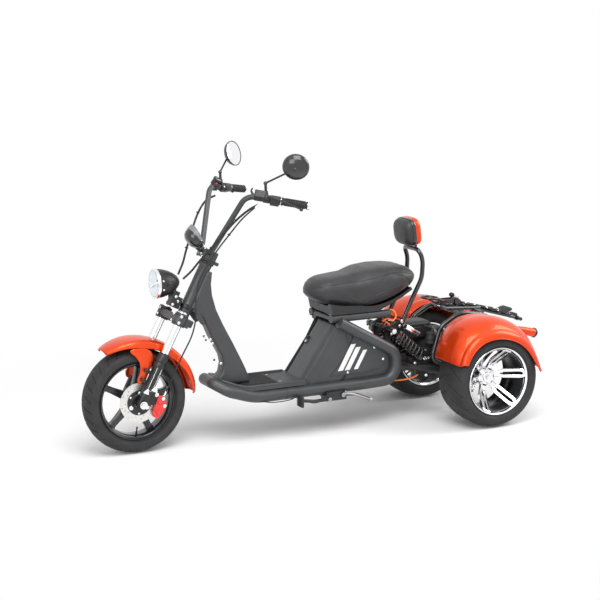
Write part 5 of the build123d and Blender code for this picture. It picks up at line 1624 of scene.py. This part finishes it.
def make_gauge():
    """Round gauge: bowl, light visor, dial with its marks and needle, clear cover."""
    place = spot(fork(778, 105), (-0.81, 0, 0.59), SIDE)
    bowl = Form().turned([(0, -40), (16, -40), (28, -37), (42, -28), (50, -14), (52, 0), (52, 6), (50.5, 8),
                          (47.5, 8), (47, 6), (47, 1)], place, 80, caps=False)
    bowl.tube([place @ Vector((0, 0, -32)), fork(733, 44)], 8 * MM, 16, place=RAW)
    piece("gauge_bowl", bowl, "gloss", "steering", ["speedometer"], crease=35)
    ring = Form().turned([(47, 7.6), (49.5, 9.4), (52.4, 7.8), (53, 3), (52, 2), (52, 7), (50.6, 8.2), (47.6, 8.2)],
                         place, 80, loop=True)
    piece("gauge_ring", ring, "chrome", "steering", crease=50)
    visor = Form()
    rings = []
    for step in range(29):
        turn = math.radians(-100 + 200 * step / 28)
        grow = math.cos(math.radians(-90 + 180 * step / 28))
        c, s = -math.cos(turn), math.sin(turn)
        rings.append([(radius * s, radius * c, along) for radius, along in
                      ((53, -1), (54.6, 6), (55 + 1.5 * grow, 10 + 15 * grow), (53.6 + 1.5 * grow, 10 + 15 * grow),
                       (53, 6))])
    visor.loft(rings, place)
    piece("gauge_visor", visor, "visor", "steering", crease=40)
    dial = Form().turned([(0, 1.2), (46.8, 1.2), (46.8, 0.4)], place, 64, caps=False)
    piece("gauge_dial", dial, "dial", "steering", crease=40)
    marks = Form()
    for index in range(25):
        turn = math.radians(-130 + 260 * index / 24)
        long = index % 4 == 0
        mark = place @ Matrix.Rotation(turn, 4, "Z")
        marks.block((1.6 if long else 0.9, 8 if long else 4.5, 0.5), mark, (0, 37, 1.6), 0)
    marks.block((26, 12, 0.5), place, (0, -20, 1.6), 2)
    piece("gauge_marks", marks, "stripe", "steering")
    needle = Form()
    needle.loft([[(-2, -8, 2), (2, -8, 2), (0.5, 32, 2), (-0.5, 32, 2)],
                 [(-2, -8, 3), (2, -8, 3), (0.5, 32, 3), (-0.5, 32, 3)]], place @ Matrix.Rotation(2.0, 4, "Z"))
    needle.turned([(0, 1.2), (6, 1.2), (6, 4.5), (4.5, 5.5), (0, 5.5)], place, 24, caps=False)
    piece("gauge_needle", needle, "red", "steering")
    cover = Form().turned([(47.2, 6), (46, 6.6), (32, 7.6), (16, 8.1), (0, 8.3)], place, 64, caps=False)
    piece("gauge_glass", cover, "lens", "steering", crease=60, solid=0.8)


def wrapped(path, radius, pitch):
    """A loom with a spiral wrap along its path."""
    line = flow(path, 22)
    form = Form()
    count = len(line)
    length = sum((b - a).length for a, b in zip(line, line[1:])) / MM
    turns = length / pitch
    runs = [(line[min(count - 1, i + 1)] - line[max(0, i - 1)]).normalized() for i in range(count)]
    normal = (SIDE - runs[0] * runs[0].y).normalized()
    rings = []
    for i, (point, run) in enumerate(zip(line, runs)):
        normal = (normal - run * normal.dot(run)).normalized()
        other = run.cross(normal)
        ring = []
        for j in range(18):
            turn = math.tau * j / 18
            phase = (turn / math.tau + turns * i / count) % 1.0
            size = radius + (0.45 if phase < 0.72 else -0.35)
            ring.append(point + (normal * math.cos(turn) + other * math.sin(turn)) * size * MM)
        rings.append(ring)
    return form.loft(rings, RAW)


LOOM_LEFT = [(1020, -4, 232), (983, 19, 214), (918, 35, 172), (841, 43, 130), (763, 51, 90), (690, 61, 56),
             (631, 71, 40), (585, 90, 36)]
LOOM_RIGHT = [(1005, 2, -215), (966, 40, -200), (895, 69, -160), (810, 81, -115), (723, 86, -75), (652, 87, -45),
              (596, 91, -30)]
HOSE = [(69, -41, 84), (124, -37, 96), (197, -31, 103), (282, -32, 105), (368, -34, 104), (445, -19, 100),
        (518, 14, 92), (597, 35, 88), (681, 36, 96), (767, 33, 120), (848, 29, 156), (924, 25, 194), (985, 14, 230),
        (1021, -1, 246)]


def make_looms():
    """Spiral-wrapped looms, the brake hose with its fittings, and the ties that hold them."""
    loom = wrapped([fork(*place) for place in LOOM_LEFT], 4.6, 11)
    loom.join(wrapped([fork(*place) for place in LOOM_RIGHT], 4.6, 11))
    piece("bar_looms", loom, "loom", "steering", ["cables"], crease=50)
    hose = Form().tube(flow([fork(*place) for place in HOSE], 8), 3.5 * MM, 14, place=RAW)
    piece("brake_hose", hose, "rubber", "steering", crease=60)
    ends = Form()
    for here, there in ((HOSE[0], HOSE[1]), (HOSE[-1], HOSE[-2])):
        way = (fork(*there) - fork(*here)).normalized()
        place = spot(fork(*here), way)
        ends.turned([(3.4, -2), (5.2, -2), (5.2, 12), (4.6, 16), (4.6, 24), (3.4, 26)], place, 20, loop=True)
    piece("hose_ends", ends, "chrome", "steering", crease=50)
    ties = Form()
    for place, near in ((LOOM_LEFT[2], LOOM_LEFT[3]), (LOOM_LEFT[4], LOOM_LEFT[5]), (LOOM_RIGHT[2], LOOM_RIGHT[3]),
                        (LOOM_RIGHT[4], LOOM_RIGHT[5]), (HOSE[6], HOSE[7]), (HOSE[10], HOSE[11])):
        way = (fork(*near) - fork(*place)).normalized()
        seat = spot(fork(*place), way)
        ties.turned([(4.4, -2), (6.2, -2), (6.2, 2), (4.4, 2)], seat, 20, loop=True)
        ties.block((5, 4, 5), seat, (7, 0, 0), 1)
    piece("loom_ties", ties, "black", "steering", bevel=0.3)


def make_crowns():
    """Bolts and caps on the two fork crowns, and the bar's clamps."""
    heads, caps, black = Form(), Form(), Form()
    for up in (398, 428):
        for hand in (1, -1):
            bolt(heads, fork(up, LEG_OFFSET + 12, (LEG_Y + 30) * hand), SIDE * hand, 5.5, 4)
            bolt(heads, fork(up, LEG_OFFSET + 33, (LEG_Y - 14) * hand), FORE, 4.6, 3.4)
    for hand in (1, -1):
        leg = spot(fork(442, LEG_OFFSET, LEG_Y * hand), UP, FORE)
        caps.turned([(0, 0), (20, 0), (22, 1), (22, 5), (19, 8), (12, 9), (0, 9)], leg, 40, caps=False)
        black.turned([(30.2, -52), (31.4, -50), (31.4, -47), (30.2, -45)], leg, 48, loop=True)
        black.turned([(30.2, -13), (31.4, -11), (31.4, -8), (30.2, -6)], leg, 48, loop=True)
    stem = spot(fork(700, 0), UP, FORE)
    black.turned([(28.2, -232), (33, -230), (34, -226), (34, -214), (30, -210), (28.2, -210)], stem, 56, loop=True)
    black.turned([(28.2, -8), (33, -8), (34, -6), (34, 0), (31, 4), (28.2, 4)], stem, 56, loop=True)
    for up, fore in ((752, 4), (752, 46), (716, 4), (716, 46)):
        for hand in (1, -1):
            bolt(heads, fork(up, fore, 27 * hand), SIDE * hand, 5, 4)
    for hand in (1, -1):
        for up in (726, 758):
            bolt(heads, fork(up, 51, 14 * hand), FORE, 4.6, 4)
    piece("crown_bolts", heads, "chrome", "steering")
    piece("fork_top_caps", caps, "chrome", "steering")
    piece("steering_collars", black, "satin_black", "steering", crease=35)


make_grips()
make_controls()
make_mirrors()
make_gauge()
make_looms()
make_crowns()


# ---------------------------------------------------------------- neck and deck
EDGE_STEPS = 6
NECK_HALF, NECK_ROUND = 38, 15


def cushioned_slab(form, outline, half, round_by):
    """A side slab whose long edges are well rounded; outline runs round the shape."""
    points = [Vector((x, z)) for x, z in outline]
    count = len(points)
    area = sum(points[i].x * points[(i + 1) % count].y - points[(i + 1) % count].x * points[i].y
               for i in range(count))
    sign = 1 if area > 0 else -1
    inward = []
    for i in range(count):
        run = (points[(i + 1) % count] - points[i - 1]).normalized()
        inward.append(Vector((-run.y, run.x)) * sign)
    rings = []
    for step in list(range(-EDGE_STEPS, 0)) + list(range(1, EDGE_STEPS + 1)):
        angle = math.radians(90 * (abs(step) / EDGE_STEPS))
        y = (half - round_by + round_by * math.sin(angle)) * (1 if step > 0 else -1)
        inset = round_by * (1 - math.cos(angle))
        rings.append([(p.x + n.x * inset, y, p.y + n.y * inset) for p, n in zip(points, inward)])
    return form.loft(rings, ROW)


def side_of(place):
    """(x, z) in millimetres of a point of the frame."""
    return (place.x - REAR_HUB.x) / MM, place.z / MM


def make_neck():
    """Moulded neck with round edges, the head tube, screws and a lobe on each side."""
    front = [side_of(fork(*place)) for place in ((664, -6), (600, -6), (540, -6), (480, -8), (462, -79), (430, -124),
                                                 (396, -166))]
    low = [(1262, 403), (1253, 365), (1263, 322), (1297, 292), (1297, 266), (1126, 264), (1126, 295), (1143, 335),
           (1160, 371), (1184, 418), (1208, 466), (1232, 510), (1253, 550)]
    back = [side_of(fork(*place)) for place in ((522, -129), (573, -81), (616, -53), (668, -33))]
    form = cushioned_slab(Form(), front + low + back, NECK_HALF, NECK_ROUND)
    tube = spot(fork(0, 0), UP, FORE)
    form.turned([(22, 478), (28, 478), (29.5, 480), (29.5, 490), (28, 493), (28, 676), (29.5, 679), (29.5, 693),
                 (28, 695), (22, 695)], tube, 64, loop=True)
    piece("neck_shell", form, "frame", "chassis", ["neck"], crease=30)
    heads = Form()
    for x, z in ((1374, 583), (1322, 489), (1312, 470), (1271, 372)):
        bolt(heads, at(x, NECK_HALF, z), SIDE, 4.4, 2.4)
    heads.copy_mirrored()
    piece("neck_screws", heads, "chrome", "chassis")
    lobe = Form()
    ring = [(1402, 628), (1390, 622), (1376, 604), (1366, 586), (1360, 566), (1374, 560), (1392, 580), (1404, 604)]
    lobe.side_slab([(p.x, p.y) for p in flow([(x - 12, z, 0) for x, z in ring], 4, loop=True)], 36, 41)
    lobe.copy_mirrored()
    piece("neck_lobes", lobe, "frame", "chassis", bevel=1.5)


def make_deck():
    """Rolled lip round the footboard, the flange under it and a seam on each deck tube."""
    lip = Form()
    half = [(880, 117, 262), (980, 117, 263), (1080, 117, 263), (1165, 116, 264), (1215, 108, 274), (1252, 96, 288),
            (1280, 74, 298), (1292, 40, 304)]
    line = half + [(x, -y, z) for x, y, z in reversed(half)]
    lip.tube(flow(line, 6), 6.5, 12)
    piece("floor_lip", lip, "frame", "chassis", crease=60)
    web = Form()
    path = flow(half, 6)
    rings = []
    for point in path:
        rings.append([(point.x, point.y - 3, point.z + 2), (point.x, point.y + 5, point.z),
                      (point.x, point.y + 8, point.z - 18), (point.x, point.y - 3, point.z - 22)])
    web.loft(rings, ROW)
    web.copy_mirrored()
    piece("floor_flange", web, "frame", "chassis", bevel=1.5)
    bands = Form()
    ring = [(27.6 * math.cos(math.tau * k / 48), 27.6 * math.sin(math.tau * k / 48)) for k in range(48)]
    bands.loft([[(985 + dx, 122 + y, 214 + z) for y, z in ring] for dx in (-1.2, 1.2)], ROW)
    bands.copy_mirrored()
    piece("deck_seams", bands, "black", "chassis")


def make_foot_controls():
    """Brake pedal's ribbed pad, plates, bright lever, bolts and the thin cable under the deck."""
    pad, steel, black = Form(), Form(), Form()
    for index in range(5):
        pad.block((4, 46, 5), spot(at(937.5, 176, 182)), (0, 0, -19 + 9.5 * index), 1)
    piece("pedal_ribs", pad, "rubber", "chassis", bevel=0.6)
    for x, z, r in ((926, 182, 8), (772, 172, 7), (700, 186, 8), (690, 200, 4)):
        bolt(steel, at(x, 169, z), SIDE, r, 5)
    steel.tube(flow([(706, 168, 190), (676, 168, 189), (640, 168, 182), (600, 168, 166), (558, 168, 149)], 6), 6.2, 14,
               flat=0.7)
    steel.tube([(562, 168, 150), (548, 168, 146)], 9, 16)
    piece("foot_lever", steel, "steel", "chassis", crease=50)
    black.side_slab([(785, 196), (790, 176), (776, 168), (688, 168), (680, 182), (684, 200), (700, 206), (776, 204)],
                    158.5, 162)
    black.tube(flow([(948, 160, 201), (985, 158, 191), (1062, 150, 188), (1134, 138, 201), (1180, 126, 212)], 8), 2.4,
               10)
    black.tube(flow([(786, 160, 178), (812, 162, 172), (852, 162, 168), (884, 162, 176), (924, 162, 180)], 6), 7.5, 12)
    piece("foot_linkage", black, "satin_black", "chassis", crease=50)


# ---------------------------------------------------------------- rear machinery
def make_shock_parts():
    """Reservoirs with blank bright sleeves beside the springs, and the eyes' bolts."""
    bodies, sleeves, heads = Form(), Form(), Form()
    start, end = Vector((352, 112, 480)), Vector((256, 112, 420))
    run = (end - start).normalized()
    long = (end - start).length
    place = spot(ROW @ start, run, SIDE)
    bodies.turned([(0, 0), (11, 0), (14, 3), (14, 12), (12.5, 14), (12.5, long - 16), (14, long - 14), (14, long - 4),
                   (11, long), (0, long)], place, 40, caps=False)
    sleeves.turned([(12.6, 22), (13.4, 23), (13.4, long - 28), (12.6, long - 27)], place, 48, loop=True)
    for x, z in ((402, 452), (228, 303)):
        bolt(heads, at(x, 124, z), SIDE, 9, 7)
    bolt(heads, at(413, 118, 443), SIDE, 5, 4)
    for form in (bodies, sleeves, heads):
        form.copy_mirrored()
    piece("shock_reservoirs", bodies, "gloss", "chassis", crease=40)
    piece("shock_sleeves", sleeves, "alloy", "chassis", crease=40)
    piece("shock_bolts", heads, "chrome", "chassis")


def make_rear_electrics():
    """Controller case's ribbed lid, small cases, cans, and the wires between them."""
    case, dark, grey, wires, heads = Form(), Form(), Form(), Form(), Form()
    place = spot(at(235, 0, 448))
    rings = []
    for w, h, z in ((168, 118, -1), (170, 120, 2), (168, 118, 12), (150, 100, 20), (120, 76, 24)):
        rings.append([(x, y, z) for x, y in rounded_rectangle(w, h, 22, 6)])
    case.loft(rings, place)
    for index in range(9):
        case.block((150, 3, 6), place, (0, -48 + 12 * index, 17), 1)
    piece("controller_lid", case, "black", "chassis", bevel=0.8)
    dark.block((76, 44, 92), spot(at(240, 86, 246)), (0, 0, 0), 10)
    dark.block((46, 34, 60), spot(at(186, 78, 250)), (0, 0, 0), 8)
    dark.turned([(0, 0), (20, 0), (22, 3), (22, 180), (19, 186), (0, 186)], spot(at(132, 92, 214)), 32, caps=False)
    dark.block((60, 30, 40), spot(at(330, 60, 300)), (0, 0, 0), 6)
    dark.copy_mirrored()
    piece("rear_cases", dark, "black", "chassis", bevel=1.5, crease=40)
    grey.turned([(0, 0), (23, 0), (24.5, 2), (24.5, 6), (23, 8), (23, 46), (24.5, 48), (24.5, 53), (22, 55), (0, 55)],
                spot(at(180, 92, 368)), 40, caps=False)
    grey.turned([(24.8, 20), (25.4, 21), (25.4, 34), (24.8, 35)], spot(at(180, 92, 368)), 40, loop=True)
    grey.copy_mirrored()
    piece("rear_cans", grey, "cast", "chassis", crease=35)
    routes = [[(300, 40, 470), (330, 50, 500), (372, 46, 505), (410, 40, 480), (440, 30, 440)],
              [(300, 20, 466), (340, 26, 486), (390, 30, 470), (436, 20, 420)],
              [(160, 90, 330), (190, 100, 340), (240, 98, 350), (300, 80, 350), (360, 60, 330)],
              [(140, 60, 400), (160, 84, 420), (170, 90, 440), (200, 60, 452)],
              [(300, -30, 468), (336, -40, 498), (380, -40, 498), (430, -30, 450)]]
    for route in routes:
        wires.tube(flow(route, 8), 4.0, 10)
    piece("rear_wires", wires, "rubber", "chassis", crease=60)
    orange = Form()
    orange.tube(flow([(447, 84, 500), (424, 92, 512), (396, 96, 500), (380, 98, 520), (392, 96, 548), (420, 88, 552),
                      (446, 76, 532), (430, 60, 505)], 8), 4.6, 12)
    orange.tube(flow([(440, 96, 236), (416, 112, 214), (372, 116, 208), (332, 116, 208), (296, 114, 211),
                      (265, 108, 218), (240, 96, 232)], 8), 3.6, 12)
    orange.tube(flow([(430, 64, 500), (404, 70, 480), (392, 66, 456), (400, 50, 430)], 8), 3.6, 12)
    piece("orange_cables", orange, "orange_sleeve", "chassis", crease=60)
    for x, y, z in ((207, 112, 302), (372, 104, 285), (276, 110, 282), (214, 110, 214)):
        bolt(heads, at(x, y, z), SIDE, 6, 5)
    heads.copy_mirrored()
    piece("rear_case_bolts", heads, "chrome", "chassis")


def make_drive_parts():
    """Cooling fins on the motor, the differential's cover bolts and the axle tubes' clamps."""
    fins, heads, clamps = Form(), Form(), Form()
    motor = spot(at(150, 0, 330), SIDE)
    for index in range(13):
        y = -66 + 11 * index
        fins.turned([(61, y - 2), (66.5, y - 1.4), (66.5, y + 1.4), (61, y + 2)], motor, 56, loop=True)
    piece("motor_fins", fins, "cast", "chassis", crease=40)
    drive = spot(at(0, 0, REAR_R), SIDE)
    for turn in range(10):
        way = math.tau * turn / 10
        for y in (48, -48):
            bolt(heads, drive @ Vector((78 * math.cos(way), 78 * math.sin(way), y)), SIDE * (1 if y > 0 else -1), 6, 5)
    for turn in range(6):
        way = math.tau * turn / 6
        bolt(heads, motor @ Vector((48 * math.cos(way), 48 * math.sin(way), 75)), SIDE, 5, 4)
        bolt(heads, motor @ Vector((48 * math.cos(way), 48 * math.sin(way), -75)), -SIDE, 5, 4)
    piece("drive_bolts", heads, "steel", "chassis")
    for y in (112, 150):
        clamps.turned([(34, y - 9), (40, y - 8), (40, y + 8), (34, y + 9)], drive, 48, loop=True)
        clamps.block((26, 22, 16), spot(at(0, y, REAR_R + 44)), (0, 0, 0), 3)
    clamps.copy_mirrored()
    piece("axle_clamps", clamps, "satin_black", "chassis", bevel=0.8)


make_neck()
make_deck()
make_foot_controls()
make_shock_parts()
make_rear_electrics()
make_drive_parts()
